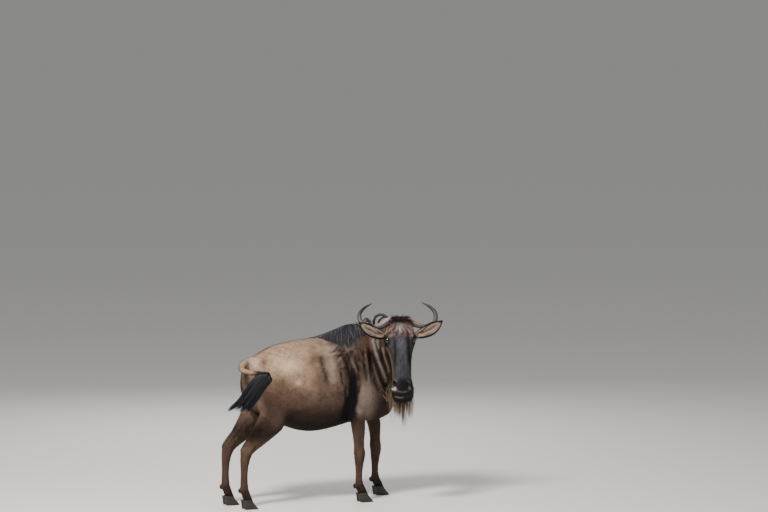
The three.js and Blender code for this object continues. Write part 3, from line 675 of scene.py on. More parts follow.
def shape_trunk(p, normals, parts):
    lift = np.zeros(len(p))
    trunk = parts["torso"] + sum(parts[leg + "_upper"] for leg in LEG_PLACES)
    facing_out = smooth(np.abs(normals[:, 1]), 0.15, 0.55)
    for path, width, height in SIDE_FOLDS:
        lift += trunk * facing_out * height * bell(side_line(p, path), width)
    # ribs show a little where the trunk is widest
    for rib in range(RIBS):
        x = FIRST_RIB - RIB_STEP * rib
        line = [(x + 26, 930), (x, 800), (x - 22, 670)]
        lift += parts["torso"] * facing_out * RIB_HEIGHT * bell(side_line(p, line), 11)
    # the folds of the neck and shoulder are where the picture has them, on the side it shows
    near = np.where((parts["torso"] > 0.5)[:, None], on_near_side(p), p)
    side = np.where((parts["torso"] > 0.5) & (p[:, 1] > 0), -1, 1)
    towards = smooth((normals * np.stack([side**2, side, side**2], axis=1)) @ view_back, 0.05, 0.4)
    dark, pale = folds_at(seen(near))
    return lift + (parts["torso"] + parts["neck"]) * towards * (PALE_RISE * pale - DARK_SINK * dark)

# %% Shape the head: lines in the head's own frame, width and lift in mm
def oval(centre, long, high, level, start=0.0, end=2 * math.pi):
    turns = np.linspace(start, end, 17)
    return [(centre[0] + long * math.cos(a), centre[1] + level, centre[2] + high * math.sin(a))
            for a in turns]


FACE_FOLDS = [
    (oval(EYE, 24, 17, 8), 4.2, 3.5),
    (oval(EYE, 33, 26, 2, 1.9, 3.6), 4.0, -3.5),
    (oval(EYE, 32, 27, 0, 3.5, 5.9), 4.0, -2.5),
    (oval(EYE, 42, 36, -4, 1.9, 3.9), 7.0, 6.0),
    (oval(EYE, 28, 24, 4, 0.2, 1.8), 7.0, -5.0),
    ([(160, 84, -44), (182, 76, -48), (206, 70, -44)], 6, -4),
    ([(176, 66, -22), (220, 60, -24), (262, 58, -30)], 9, 3.5),
    ([(400, 50, -16), (412, 64, -22), (432, 74, -30), (456, 72, -46), (470, 58, -58)], 6, 5),
    ([(418, 56, -26), (434, 62, -32), (452, 60, -44), (462, 50, -52)], 8.5, -15),
    ([(386, 54, -26), (396, 66, -48), (420, 70, -68), (452, 68, -74)], 8, -3.5),
    ([(500, 0, -52), (530, 0, -64), (548, 0, -78)], 4.5, -2.5),
    ([(476, 56, -66), (500, 44, -56), (512, 20, -48), (514, 0, -46)], 12, 4),
    ([(300, 56, -30), (350, 52, -36), (392, 54, -44)], 8, 2.5),
    ([(212, 70, -66), (280, 62, -74), (350, 58, -80)], 10, -3),
    ([(108, 84, -110), (190, 76, -120), (270, 60, -112)], 16, 4),
]
MOUTH = [(400, 58, -74), (430, 66, -82), (470, 68, -90), (505, 64, -94), (532, 50, -96),
         (548, 28, -94), (554, 0, -92)]


def shape_head(p, parts):
    q = mirrored(to_head(p))
    gap = line_distance(q, MOUTH)
    lips = 3.0 * bell(gap, 12) - 8.0 * bell(gap, 3.6)
    return parts["head"] * (relief(q, FACE_FOLDS) + lips)

# %% Which part of the body each point belongs to
def part_shares(points, ends, rounds=8):
    """For each part of the flesh, how much each point belongs to it, blurred at the joins."""
    share = np.zeros((len(points), len(FLESH)))
    for i, point in enumerate(points):
        share[i, flesh_owner[flesh_tree.find_nearest(point)[2]]] = 1
    count = edges_at(ends, len(points))
    for step in range(rounds):
        share = neighbour_mean(share, ends, count)
    return {name: share[:, k] for k, name in enumerate(FLESH)}


points = mesh_points(lighter)
ends = mesh_edges(lighter)
parts = part_shares(points, ends)
on_ears = parts["ear_left"] + parts["ear_right"]
on_legs = sum(parts[name] for name in LEGS)
print("points on the head:", int(parts["head"].sum()))

# %% Shape the folds and muscles
normals = mesh_normals(lighter)
sized = drawing(points)
lift = shape_trunk(sized, normals, parts) + shape_head(sized, parts) + shape_legs(sized, parts)
# The tufts stand up by a millimetre or two, so the skin under them gives way by as much
lift -= 2.0 * parts["torso"] + 2.0 * parts["neck"] + 0.8 * on_legs
points = points + normals * (lift / 1000)[:, None]
points[:, 2] = np.maximum(points[:, 2], 0.0005)
lighter.vertices.foreach_set("co", points.astype(np.float32).ravel())
lighter.update()
normals = mesh_normals(lighter)
print("folds from", round(lift.min(), 1), "to", round(lift.max(), 1), "mm")

# %% [markdown]
# ## The markings
# The coat is grey-brown and brindled, with a black face, a black band behind the shoulder and pale
# flanks. Some light and shade is painted into these colours as well: highlights on the rump,
# shoulder, face and lips, and shade in the folds, under the belly and behind the shoulder. A picture
# laid over the skin could carry that, but it would blur close up and show seams. Here one function
# gives the colour at any point, from where it is on the animal. The skin and every tuft of hair ask
# the same function, so that the two always agree.

# %% Colours of the coat
def rgb(r, g, b):
    c = np.array([r, g, b]) / 255.0
    return np.where(c <= 0.04045, c / 12.92, ((c + 0.055) / 1.055) ** 2.4)


def mixed(base, colour, share):
    share = np.clip(share, 0, 1)[:, None]
    return base * (1 - share) + colour * share


def wander(p, size, seed):
    """A soft random value from -1 to 1 made of a few crossed waves."""
    random = np.random.default_rng(seed)
    total = np.zeros(len(p))
    for k in range(7):
        direction = unit(random.normal(size=3))
        total += np.sin(p @ direction * (2 * math.pi / size) * (0.6 + 0.9 * random.random())
                        + 6.28 * random.random())
    return total / 3.2


def brindle(spots):
    """Thin dark streaks that run down and forward between the mane and the elbow."""
    over = 0.92 * spots[:, 0] - 0.38 * spots[:, 1]
    down = 0.38 * spots[:, 0] + 0.92 * spots[:, 1]
    spread = np.stack([over, 0.10 * down, 0 * over], axis=1) * PIXEL
    streak = smooth(wander(spread, 13, 31), -0.05, 0.7)
    return streak * smooth(spots[:, 0], 333, 341) * smooth(spots[:, 1], 342, 350)


def patch(spots, centre, reach):
    return np.exp(-(((spots - centre) / reach) ** 2).sum(axis=1))


def layered(colour, layers):
    """One colour over another; a layer is a colour and how much of it lies at each point."""
    for tint, share in layers:
        colour = mixed(colour, rgb(*tint), share)
    return colour

# %% [markdown]
# ## Trunk
# The flank is a pale patch that fades into darker hair, with the black band at its front edge and
# a dark belly. These are soft-edged ovals laid one over another, as one would glaze a painting.
# Some of them are painted light: highlights on the rump, the loin and the shoulder, and painted
# shade under the belly, on the chest's front and in the crease behind the shoulder.
# Their places are pixels of the picture, because that is where the markings were measured.

# %% Colours of the trunk
def trunk_colour(p, normals):
    x, y, z = p.T
    up = normals[:, 2]
    near = on_near_side(p)
    spots = seen(near) + 0.5 * np.stack([wander(near, 60, 3), wander(near, 60, 4)], axis=1)
    row = spots[:, 1]
    colour = np.tile(rgb(104, 84, 72), (len(p), 1))
    pale = patch(spots, (284, 352), (44, 24))
    ridge = line_distance(spots, [(322, 343), (330, 352), (334, 362), (335, 376)])
    colour = layered(colour, [
        ((158, 131, 110), 1.1 * pale),
        # painted highlight on the top of the rump
        ((178, 150, 126), 0.9 * patch(spots, (288, 366), (18, 12))),
        ((150, 122, 100), 0.8 * patch(spots, (307, 376), (11, 18))),
        # painted highlight on the pin bone
        ((196, 170, 148), patch(spots, (253, 362), (9, 7))),
        ((90, 68, 56), 0.85 * patch(spots, (273, 396), (22, 15))),
        ((140, 112, 94), 0.8 * patch(spots, (259, 402), (3, 9))),
        ((66, 48, 40), 0.85 * patch(spots, (264.5, 361.5), (3.6, 5))),
        ((84, 66, 57), 0.9 * smooth(row, 384, 402) * smooth(x, -560, -470)),
        ((150, 130, 117), 0.85 * bell(ridge, 7)),
        ((74, 62, 60), 0.9 * smooth(x, -150, -40) * smooth(row, 352, 380)),
        ((88, 66, 55), 0.8 * smooth(x, -40, 40) * smooth(row, 362, 350)),
    ])
    blotch = smooth(wander(near, 70, 5), 0.0, 0.9)
    colour = mixed(colour, rgb(76, 58, 49), 0.4 * blotch * smooth(pale, 0.9, 0.2))
    fine = smooth(wander(near, 26, 15), 0.1, 0.9)
    colour = layered(colour, [
        ((62, 47, 41), 0.34 * fine),
        # painted highlight on the loin
        ((212, 186, 162), 0.8 * patch(spots, (291, 366), (9, 7))),
        ((74, 57, 49), 0.8 * patch(spots, (314, 360), (4.5, 8))),
        ((196, 170, 146), 0.8 * patch(spots, (299, 382), (3.5, 4))),
        ((80, 64, 57), 0.75 * patch(spots, (321, 381), (8, 8))),
        ((58, 46, 43), 0.8 * patch(spots, (352, 366), (10, 15))),
        ((34, 26, 24), 0.85 * patch(spots, (369, 361), (5, 11))),
        ((22, 16, 16), 0.62 * brindle(spots) * smooth(row, 408, 390)),
        # the belly is darker low down, and painted shade makes it near black where the skin faces down,
        # under the belly and in the armpit
        ((52, 37, 31), smooth(row, 400, 416) * smooth(x, -600, -520)),
        ((20, 13, 11), smooth(up, -0.3, -0.85) * smooth(z, 680, 600)),
        # painted highlights on the shoulder, the elbow and the top of the foreleg, and painted shade on
        # the front of the chest, which turns away
        ((142, 124, 112), 0.95 * patch(spots, (367, 394), (8, 15))),
        ((122, 111, 108), 0.85 * patch(spots, (359.5, 408), (4, 6))),
        ((136, 114, 100), 0.85 * patch(spots, (368, 410), (5, 9))),
        ((40, 27, 23), smooth(spots[:, 0], 374, 384) * smooth(row, 392, 404)),
    ])
    dark, bright = folds_at(spots)
    # painted highlight on the fold ridges in front, then the dark fold lines, which carry painted shade
    colour = layered(colour, [
        ((132, 117, 108), 0.6 * bright * smooth(x, -260, -200)),
        ((9, 6, 7), 0.95 * dark),
    ])
    # the black band behind the shoulder: dark hair, and painted shade in the crease behind the shoulder
    half = np.interp(row, BAND_ROWS, BAND_HALF)
    edge = np.abs(spots[:, 0] - np.interp(row, BAND_ROWS, BAND_MIDDLE)) / half
    colour = mixed(colour, rgb(5, 3, 4), 0.98 * smooth(edge, 1.3, 0.75) * smooth(row, 362, 374))
    grey = smooth(x, -230, -120) * smooth(x, 60, -20) * smooth(row, 352, 340)
    colour = mixed(colour, rgb(70, 70, 78), 0.8 * grey)
    spine = bell(y, 11) * smooth(z, 940, 990) * smooth(x, 40, -40) * smooth(x, -780, -720)
    return mixed(colour, rgb(30, 23, 21), 0.9 * spine)

# %% [markdown]
# ## Neck, legs and ears
# On these the colour follows the form: stripes are counted along the neck, the shins darken down
# to the hoof, and the ear has a dark rim round a pale inside. So the places are measured along
# each part, which also serves the sides that the picture doesn't show.

# %% Colours of the neck
def neck_colour(p, normals):
    colour = np.tile(rgb(82, 67, 59), (len(p), 1))
    towards = smooth(normals @ view_back, -0.1, 0.25)
    # the far side has stripes of its own, counted along the neck from the chest to the head
    run = line_distance(p, [(140, -10, 1180), (140, -10, 700)]) + 6 * wander(p, 120, 6)
    stripe = smooth(np.sin(run * 2 * math.pi / 43), -0.1, 0.7)
    colour = layered(colour, [
        ((16, 12, 13), 0.85 * stripe * (1 - towards)),
        ((86, 66, 56), 0.9 * smooth(p[:, 2], 1070, 1130)),
    ])
    fine = smooth(wander(p, 24, 16), 0.1, 0.9)
    colour = mixed(colour, rgb(48, 37, 33), 0.4 * fine)
    spots = seen(p)
    dark, bright = folds_at(spots)
    colour = layered(colour, [
        ((24, 18, 18), 0.75 * towards * smooth(spots[:, 1], 348, 360) * smooth(spots[:, 0], 367, 371)),
        ((20, 15, 15), 0.8 * brindle(spots) * towards * smooth(spots[:, 1], 347, 353)),
        # painted highlight on the ridges of the folds
        ((160, 146, 137), 0.9 * bright * towards),
    ])
    # the pale side of the jaw where it shows beside the neck: paler hair with a painted highlight,
    # painted on the neck
    jaw = line_distance(spots, [(383, 348), (384.5, 356), (387, 364), (389.5, 372)])
    colour = mixed(colour, rgb(190, 160, 140), 0.75 * bell(jaw, 1.2) * towards)
    # the dark fold lines: brindle hair, with painted shade in the grooves
    return mixed(colour, rgb(8, 6, 7), 0.95 * dark * towards)

# %% Colours of the legs
def leg_colour(p, normals):
    x, y, z = p.T
    inner = smooth(-np.sign(y) * normals[:, 1], 0.1, 0.7)
    colour = np.tile(rgb(78, 59, 49), (len(p), 1))
    colour = layered(colour, [
        ((44, 32, 27), bell(z - 505, 55) * (x < -400)),
        ((92, 71, 58), 0.7 * bell(z - 410, 45) * (x < -400)),
        ((70, 53, 43), smooth(z, 340, 260)),
        ((34, 25, 22), smooth(z, 170, 80)),
        ((32, 24, 21), 0.7 * smooth(normals[:, 0], 0.4, 0.9) * smooth(z, 380, 300)),
        # painted shade on the inner sides of the legs, where they face each other, above the shins
        ((34, 25, 21), 0.6 * inner * smooth(z, 300, 420)),
    ])
    streak = smooth(wander(p * [1, 1, 0.15], 26, 8), 0.1, 0.9)
    colour = mixed(colour, rgb(40, 29, 25), 0.45 * streak)
    fine = smooth(wander(p, 22, 18), 0.2, 0.9)
    return mixed(colour, rgb(98, 78, 64), 0.25 * fine)

# %% Colours of the ears
EAR_ROOT = np.array([102.0, 78.0, -62.0])
EAR_TIP = np.array([27.0, 276.0, 36.0])


def ear_places(p):
    """Each point as: along the ear from its root, and across it in half widths."""
    q = mirrored(to_head(p))
    way = EAR_TIP - EAR_ROOT
    t = (q - EAR_ROOT) @ way / (way @ way)
    line = EAR_ROOT + t[:, None] * way
    line[:, 0] += 23 * np.sin(math.pi * np.clip(t, 0, 1))
    half = 44 * np.interp(t, [0, 0.14, 0.32, 0.52, 0.7, 0.86, 1], [0.42, 0.5, 0.8, 1, 0.94, 0.6, 0.1])
    return t, (q - line)[:, 0] / half


def ear_colour(p, normals):
    t, across = ear_places(p)
    side = np.sign(to_head(p)[:, 1])[:, None]
    cup = 0.9 * head_out - 0.44 * side * head_left
    inside = smooth((normals * cup).sum(axis=1), 0.1, 0.45)
    ear = np.tile(rgb(66, 52, 45), (len(p), 1))
    pale = mixed(np.tile(rgb(152, 136, 121), (len(p), 1)), rgb(104, 84, 70), smooth(t, 0.3, 0.1))
    tufts = smooth(wander(p, 24, 9), 0.0, 0.7)
    pale = layered(pale, [
        ((22, 17, 16), 0.97 * bell(across + 0.14, 0.26) * smooth(t, 0.24, 0.34)
         * smooth(t, 0.92, 0.75) * (0.7 + 0.3 * tufts)),
        ((50, 40, 35), 0.85 * bell(across - 0.40, 0.10) * smooth(t, 0.3, 0.45)),
        ((22, 17, 16), smooth(np.abs(across), 0.50, 0.76) * smooth(t, 0.1, 0.25)),
    ])
    ear = ear * (1 - inside[:, None]) + pale * inside[:, None]
    ear = mixed(ear, rgb(22, 17, 16), smooth(np.abs(across), 0.75, 0.95) * smooth(t, 0.1, 0.25))
    return mixed(ear, rgb(18, 15, 15), smooth(t, 0.84, 0.97))

# %% [markdown]
# ## Head
# The face is black with a blue cast from under the eyes to the nostrils, and the forehead is
# brown and grey in strokes that fan out. Broad areas are painted in the head's own frame, alike
# on both sides. The nostrils and lips are the small marks that the picture shows, laid on last.

# %% Forehead and cheeks
def forehead_colour(p, q, m, front):
    along, across, out = m.T
    face = np.tile(rgb(88, 70, 60), (len(p), 1))
    cheek = smooth(across, 40, 60) * smooth(along, 150, 210) * smooth(along, 420, 360)
    face = mixed(face, rgb(150, 126, 108), 0.85 * cheek * smooth(out, -30, -50) * smooth(out, -120, -90))
    dark_lines = smooth(np.sin((out + 0.12 * along) * 2 * math.pi / 30), 0.1, 0.8)
    face = layered(face, [
        ((40, 30, 27), 0.7 * cheek * dark_lines),
        ((56, 43, 38), smooth(out, -110, -150)),
    ])
    # forehead: brown at the sides, grey in the middle with a painted highlight there, in strokes that
    # fan out from a whorl
    fan = np.arctan2(q[:, 1], along - 14)
    fan = smooth(np.sin(fan * 15 + 1.6 * wander(p, 50, 21)), -0.1, 0.8)
    brow = front * smooth(along, 140, 92)
    face = layered(face, [
        ((108, 88, 85), brow),
        ((164, 138, 124), 0.6 * brow * bell(across - 56, 13) * bell(along - 56, 26)),
        ((186, 176, 172), 0.9 * brow * bell(q[:, 1] + 2, 20) * bell(along - 46, 34)),
        ((38, 27, 26), 0.75 * brow * fan),
        ((30, 22, 22), 0.8 * brow * smooth(along, 20, 4)),
    ])
    temple = line_distance(m, [(34, 70, -20), (88, 88, -34)])
    face = layered(face, [
        ((164, 134, 114), 0.6 * bell(temple, 13)),
        ((10, 8, 8), smooth(along, 12, -6) * smooth(out, -60, -20)),
    ])
    return face

# %% The black face, with a blue cast and a painted sheen down its middle
def blackened(face, q, m, front):
    along, across, _ = m.T
    slope = along - 0.35 * across + 13 * wander(q, 26, 27) + 9 * wander(q * [0.2, 1, 1], 12, 28)
    black = smooth(slope, 78, 128) * front
    face = layered(face, [
        ((50, 51, 57), 0.97 * black),
        # painted sheen down the middle of the face
        ((84, 84, 92), 0.75 * black * bell(across, 26) * bell(along - 165, 52)),
    ])
    streak = smooth(wander(q * [0.12, 1, 0.4], 20, 22), 0.0, 0.9)
    face = mixed(face, rgb(78, 80, 88), 0.4 * black * streak * smooth(along, 400, 340))
    rows = smooth(wander(q * [0.3, 1, 1], 14, 23), 0.0, 0.9)
    face = layered(face, [
        ((22, 22, 25), 0.5 * black * rows),
        ((8, 7, 8), 0.9 * black * bell(across - 46, 14) * smooth(along, 350, 280)),
    ])
    vee = line_distance(m, [(312, 0, 0), (326, 20, 0), (346, 42, -10)])
    face = mixed(face, rgb(104, 106, 112), 0.55 * bell(vee, 6) * front)
    strip = line_distance(m, [(170, 72, -28), (230, 66, -34), (300, 58, -38), (372, 56, -44)])
    return mixed(face, rgb(196, 166, 146), 0.9 * bell(strip, 7))

# %% Muzzle and eyes: black pad, grey nostrils, and lips with painted highlights
# Nostrils and lips as they are seen in the picture: a line, its width and its colour. The pale
# marks on the lips are painted highlights, and the black line under the chin is partly painted shadow
MUZZLE_MARKS = [
    ([(391.6, 379.3), (394, 379.8), (396.5, 380.8)], 0.8, (84, 80, 80)),
    ([(408, 381.2), (410.2, 382.2)], 0.7, (70, 68, 68)),
    ([(393.2, 384.2), (393.4, 386.2)], 1.0, (84, 80, 80)),
    ([(391.7, 384.6), (392.6, 382.2), (394.2, 381.3), (395.6, 382.6), (396.4, 385.5), (397.2, 388)],
     0.9, (6, 5, 6)),
    ([(407, 383), (407.2, 388)], 1.0, (6, 5, 6)),
    # painted highlights on the upper lip
    ([(395.5, 390), (398, 391.2), (401, 391.9), (404, 392), (407, 391.4)], 0.65, (78, 66, 66)),
    ([(392.6, 388.4), (394.6, 388.8)], 1.6, (190, 178, 172)),
    ([(409.6, 387.6), (409.8, 389)], 1.1, (96, 84, 79)),
    ([(391.5, 393), (395, 394.2), (400, 395), (405, 394.6), (410, 393)], 1.1, (12, 9, 9)),
    # painted highlight on the lower lip
    ([(395.5, 396.8), (399, 397.6), (403, 397.6)], 0.65, (92, 84, 78)),
    # the black chin, with painted shadow under it
    ([(393, 398.8), (399, 400.6), (405, 400.8), (410, 398.8)], 1.3, (8, 6, 7)),
]


def with_muzzle(face, p, m, normals):
    along, _, out = m.T
    face = layered(face, [
        ((30, 29, 32), smooth(along, 385, 420)),
        ((8, 7, 8), 0.9 * patch(m, (448, 0, -20), (44, 30, 60))),
    ])
    rim = line_distance(m, [(400, 52, -16), (412, 66, -24), (436, 76, -34), (456, 73, -48)])
    face = mixed(face, rgb(112, 106, 104), 0.8 * bell(rim, 6))
    # painted shade deep in the nostrils
    pit = line_distance(m, [(418, 56, -26), (434, 62, -32), (452, 60, -44), (462, 50, -52)])
    face = mixed(face, rgb(3, 3, 3), bell(pit, 9))
    corner = line_distance(m, [(514, 50, -64), (528, 24, -66), (532, 0, -66)])
    face = layered(face, [
        ((12, 9, 10), bell(corner, 10)),
        ((5, 4, 4), bell(line_distance(m, MOUTH), 6)),
        # the underside of the chin is dark, partly painted shadow
        ((10, 8, 9), smooth(out, -112, -124) * smooth(along, 490, 520)),
    ])
    towards = smooth(normals @ view_back, 0.05, 0.3) * smooth(along, 380, 400)
    spots = seen(p)
    for path, width, tint in MUZZLE_MARKS:
        face = mixed(face, rgb(*tint), 0.95 * towards * bell(line_distance(spots, path), width))
    # dark round the eye, with a paler lid
    eye = np.linalg.norm((m - EYE) * [0.8, 0.7, 1.0], axis=1)
    face = mixed(face, rgb(10, 8, 8), 0.92 * smooth(eye, 42, 26))
    lid = line_distance(m, oval(EYE, 27, 21, 6))
    face = mixed(face, rgb(104, 84, 74), 0.55 * bell(lid, 3))
    tear = line_distance(m, [(150, 80, -36), (190, 68, -18), (216, 62, -12)])
    return mixed(face, rgb(12, 10, 10), 0.8 * bell(tear, 10))


def head_colour(p, normals):
    q = to_head(p)
    m = mirrored(q)
    front = smooth(normals @ head_out, 0.25, 0.6)
    face = blackened(forehead_colour(p, q, m, front), q, m, front)
    return with_muzzle(face, p, m, normals)

# %% One function for the whole coat
def coat_colour(points, normals, parts):
    p = drawing(points)
    legs = sum(parts[name] for name in LEGS)
    upper = sum(parts[name] for name in LEGS if name.endswith("upper"))
    ears = parts["ear_left"] + parts["ear_right"]
    # the tops of the legs carry the trunk's markings down to the elbow and stifle
    high = smooth(p[:, 2], 520, 640) * upper
    legs = legs - high
    colour = (parts["torso"] + high)[:, None] * trunk_colour(p, normals)
    colour += parts["neck"][:, None] * neck_colour(p, normals)
    colour += legs[:, None] * leg_colour(p, normals)
    colour += ears[:, None] * ear_colour(p, normals)
    colour += parts["head"][:, None] * head_colour(p, normals)
    # the stem of the tail is as pale as the rump, and darkens to its end
    stem = mixed(np.tile(rgb(160, 134, 112), (len(p), 1)), rgb(30, 25, 24), smooth(p[:, 1], -262, -320))
    colour += parts["tail_stem"][:, None] * stem
    shade = 1 + 0.10 * wander(p, 60, 11) + 0.07 * wander(p, 22, 12)
    return np.clip(colour * shade[:, None], 0.0006, 1)


# Skin shows between the hairs in their own shade, so it is painted as dark as their roots
ROOT_SHADE = 0.72
skin_colour = coat_colour(points, normals, parts)
paint(skin, skin_colour * ROOT_SHADE)
print("mean colour of the coat:", np.round(skin_colour.mean(axis=0), 3))

# %% [markdown]
# ## Hide
# Hide under hair is dull, and what little shine it has is broken up. A strong bump map would make
# it look like leather, so the grain is fine and low, and the shine is turned almost off.

# %% Hide material
grained(skin_tree, skin_shader, 220, (1, 1, 1), 0.4, 0.0015)
coat_coloured(skin_tree, skin_shader)
skin_shader.inputs["Specular IOR Level"].default_value = 0.10
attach(skin, "root")
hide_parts(*FLESH)

# %% [markdown]
# ## Horns
# A horn is a sheath that grows from its root: thick, ringed and rough there, smooth and dark at
# its tip. A bevelled curve would give the bend, but no rings. So a round section is carried along
# the bent path, and a ripple of the radius makes the rings, strong near the root only.

# %% A tube along a path
def curve_through(rows, steps):
    rows = np.asarray(rows, dtype=float)
    at = np.concatenate([[0], np.cumsum(np.linalg.norm(np.diff(rows[:, :3], axis=0), axis=1))])
    t = np.linspace(0, at[-1], steps)
    slopes = np.gradient(rows, at, axis=0)
    k = np.clip(np.searchsorted(at, t, side="right") - 1, 0, len(at) - 2)
    h = (at[k + 1] - at[k])[:, None]
    s = (t - at[k])[:, None] / h
    return ((2 * s**3 - 3 * s**2 + 1) * rows[k] + (s**3 - 2 * s**2 + s) * h * slopes[k]
            + (3 * s**2 - 2 * s**3) * rows[k + 1] + (s**3 - s**2) * h * slopes[k + 1])


def tube(path, radii, sides, up, ripple=None):
    along = unit(np.gradient(path, axis=0))
    side = unit(np.cross(up, along))
    top = np.cross(along, side)
    angles = np.linspace(0, 2 * math.pi, sides, endpoint=False)
    turned = angles[None, :, None]
    ring = side[:, None, :] * np.cos(turned) + top[:, None, :] * np.sin(turned)
    size = radii[:, None] * np.ones(sides)
    if ripple is not None:
        size = size + ripple(np.linspace(0, 1, len(path))[:, None], angles[None, :])
    points = (path[:, None, :] + ring * size[:, :, None]).reshape(-1, 3)
    count = len(path)
    triangles = []
    for i in range(count - 1):
        for j in range(sides):
            a, b = i * sides + j, i * sides + (j + 1) % sides
            c, d = a + sides, b + sides
            triangles += [(a, b, c), (b, d, c)]
    first, last = len(points), len(points) + 1
    points = np.concatenate([points, path[:1], path[-1:]])
    for j in range(sides):
        triangles.append((first, (j + 1) % sides, j))
        triangles.append((last, (count - 1) * sides + j, (count - 1) * sides + (j + 1) % sides))
    return points, np.array(triangles)

# %% Horns
HORN = [(8, 22, -26, 26), (6, 60, -22, 26), (27, 98, -26, 21), (44, 150, -26, 17),
        (36, 204, -30, 17), (-2, 238, -36, 16), (-52, 240, -44, 13), (-97, 206, -54, 8.5),
        (-127, 160, -64, 2.5)]
HORN_SPREAD = {"left": 1.02, "right": 1.08}
HORN_STEPS = 150
HORN_SIDES = 36


def growth_rings(s, a):
    root = smooth(s, 0.40, 0.04)
    rough = 0.8 * np.sin(5 * a + 22 * s) + 0.7 * np.sin(3 * a - 31 * s + 1)
    return root * (0.7 * np.sin(s * 230 + 1.4 * np.sin(a)) + rough) + 0.15 * np.sin(9 * a + 4 * s)


horn_material, horn_tree, horn_shader = plain_material("horn", 0.48)
horn_shader.inputs["Specular IOR Level"].default_value = 0.3
grained(horn_tree, horn_shader, 90, (1, 1, 1), 0.5, 0.0012)
coat_coloured(horn_tree, horn_shader)
horn_shells = []
for word, side in (("left", 1), ("right", -1)):
    rows = curve_through(HORN, HORN_STEPS)
    path = rows[:, :3] * [1, side * HORN_SPREAD[word], 1]
    points, triangles = tube(path, rows[:, 3], HORN_SIDES, (0, 0, 1), growth_rings)
    horn = mesh_object("horn_" + word + "_sheath", metres(from_head(points)), triangles,
                       horn_material)
    horn_shells.append((metres(from_head(points)), triangles))
    s = np.concatenate([np.repeat(np.linspace(0, 1, HORN_STEPS), HORN_SIDES), [0, 1]])
    a = np.concatenate([np.tile(np.linspace(0, 2 * math.pi, HORN_SIDES, endpoint=False),
                                HORN_STEPS), [0, 0]])
    streaks = smooth(np.sin(7 * a + 9 * np.sin(6 * s) + 2 * side), 0.0, 0.8)
    tint = np.tile(rgb(74, 67, 64), (len(s), 1))
    # painted highlight on the upper sides of the horns near the root, where the light falls, and painted
    # shade on their undersides
    top = smooth(mesh_normals(horn.data)[:, 2], 0.0, 0.8)
    tint = mixed(tint, rgb(168, 152, 138), 0.8 * (0.3 + 0.7 * streaks) * top * smooth(s, 0.42, 0.12))
    tint = mixed(tint, rgb(34, 29, 28), 0.85 * (1 - top) * smooth(s, 0.35, 0.05))
    tint = mixed(tint, rgb(24, 21, 21), smooth(s, 0.50, 0.86))
    tint = tint * (1 + 0.16 * np.sin(s * 230 + 1.4 * np.sin(a)) * smooth(s, 0.5, 0.1))[:, None]
    tint = tint * (1 + 0.16 * wander(points, 12, 14))[:, None]
    paint(horn, tint)
    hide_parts("horn_" + word)
    print(horn.name, len(horn.data.polygons), "faces")

# %% [markdown]
# ## Eyes
# An eye of this kind is a dark, wet ball with a level slot for a pupil. A separate clear shell
# over an iris is the usual way, but from this far only the glint is seen. One ball with a slight
# bulge at the front is enough: the slot is painted on it, and a clear coat gives the glint.

# %% Eyes
eye_material, eye_tree, eye_shader = plain_material("eye", 0.12)
eye_shader.inputs["Coat Weight"].default_value = 0.35
eye_shader.inputs["Coat Roughness"].default_value = 0.04
coat_coloured(eye_tree, eye_shader)
EYE_SHIFT = np.array([0.0, 3.0, 5.0])
for word, side in (("left", 1), ("right", -1)):
    ball = bmesh.new()
    bmesh.ops.create_icosphere(ball, subdivisions=5, radius=EYE_RADIUS)
    ball.verts.index_update()
    local = np.array([v.co for v in ball.verts])
    triangles = np.array([[v.index for v in f.verts] for f in ball.faces])
    ball.free()
    gaze = unit([0.05, 0.88 * side, 0.46])
    bulge = 1 + 0.05 * smooth(unit(local) @ gaze, 0.85, 1.0)
    points = metres(from_head(local * bulge[:, None] + (EYE + EYE_SHIFT) * [1, side, 1]))
    eye = mesh_object("eye_" + word + "_ball", points, triangles, eye_material)
    # the pupil is a level slot; the animal's level is across the head's own length
    off = local / EYE_RADIUS - gaze
    wide = np.abs(off @ unit([1, -0.10 * side, 0]))
    high = np.abs(off @ unit(np.cross(gaze, [1, 0, 0])))
    iris = smooth(np.hypot(wide, high), 0.78, 0.64)
    tint = np.tile(rgb(20, 14, 12), (len(local), 1))
    tint = mixed(tint, rgb(22, 12, 7), iris)
    tint = mixed(tint, rgb(4, 3, 3), smooth(np.hypot(high / 0.46, wide / 0.28), 1.15, 0.95))
    paint(eye, tint)
    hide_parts("eye_" + word)
    print(eye.name, len(eye.data.polygons), "faces")

# %% [markdown]
# ## Hooves
# Each foot stands on two claws of dark horn, with rings that run level round the wall. The claws'
# solids have the right form but sharp edges. A fine remesh, a little smoothing and a ripple make
# them look grown, and no point is let below the floor.

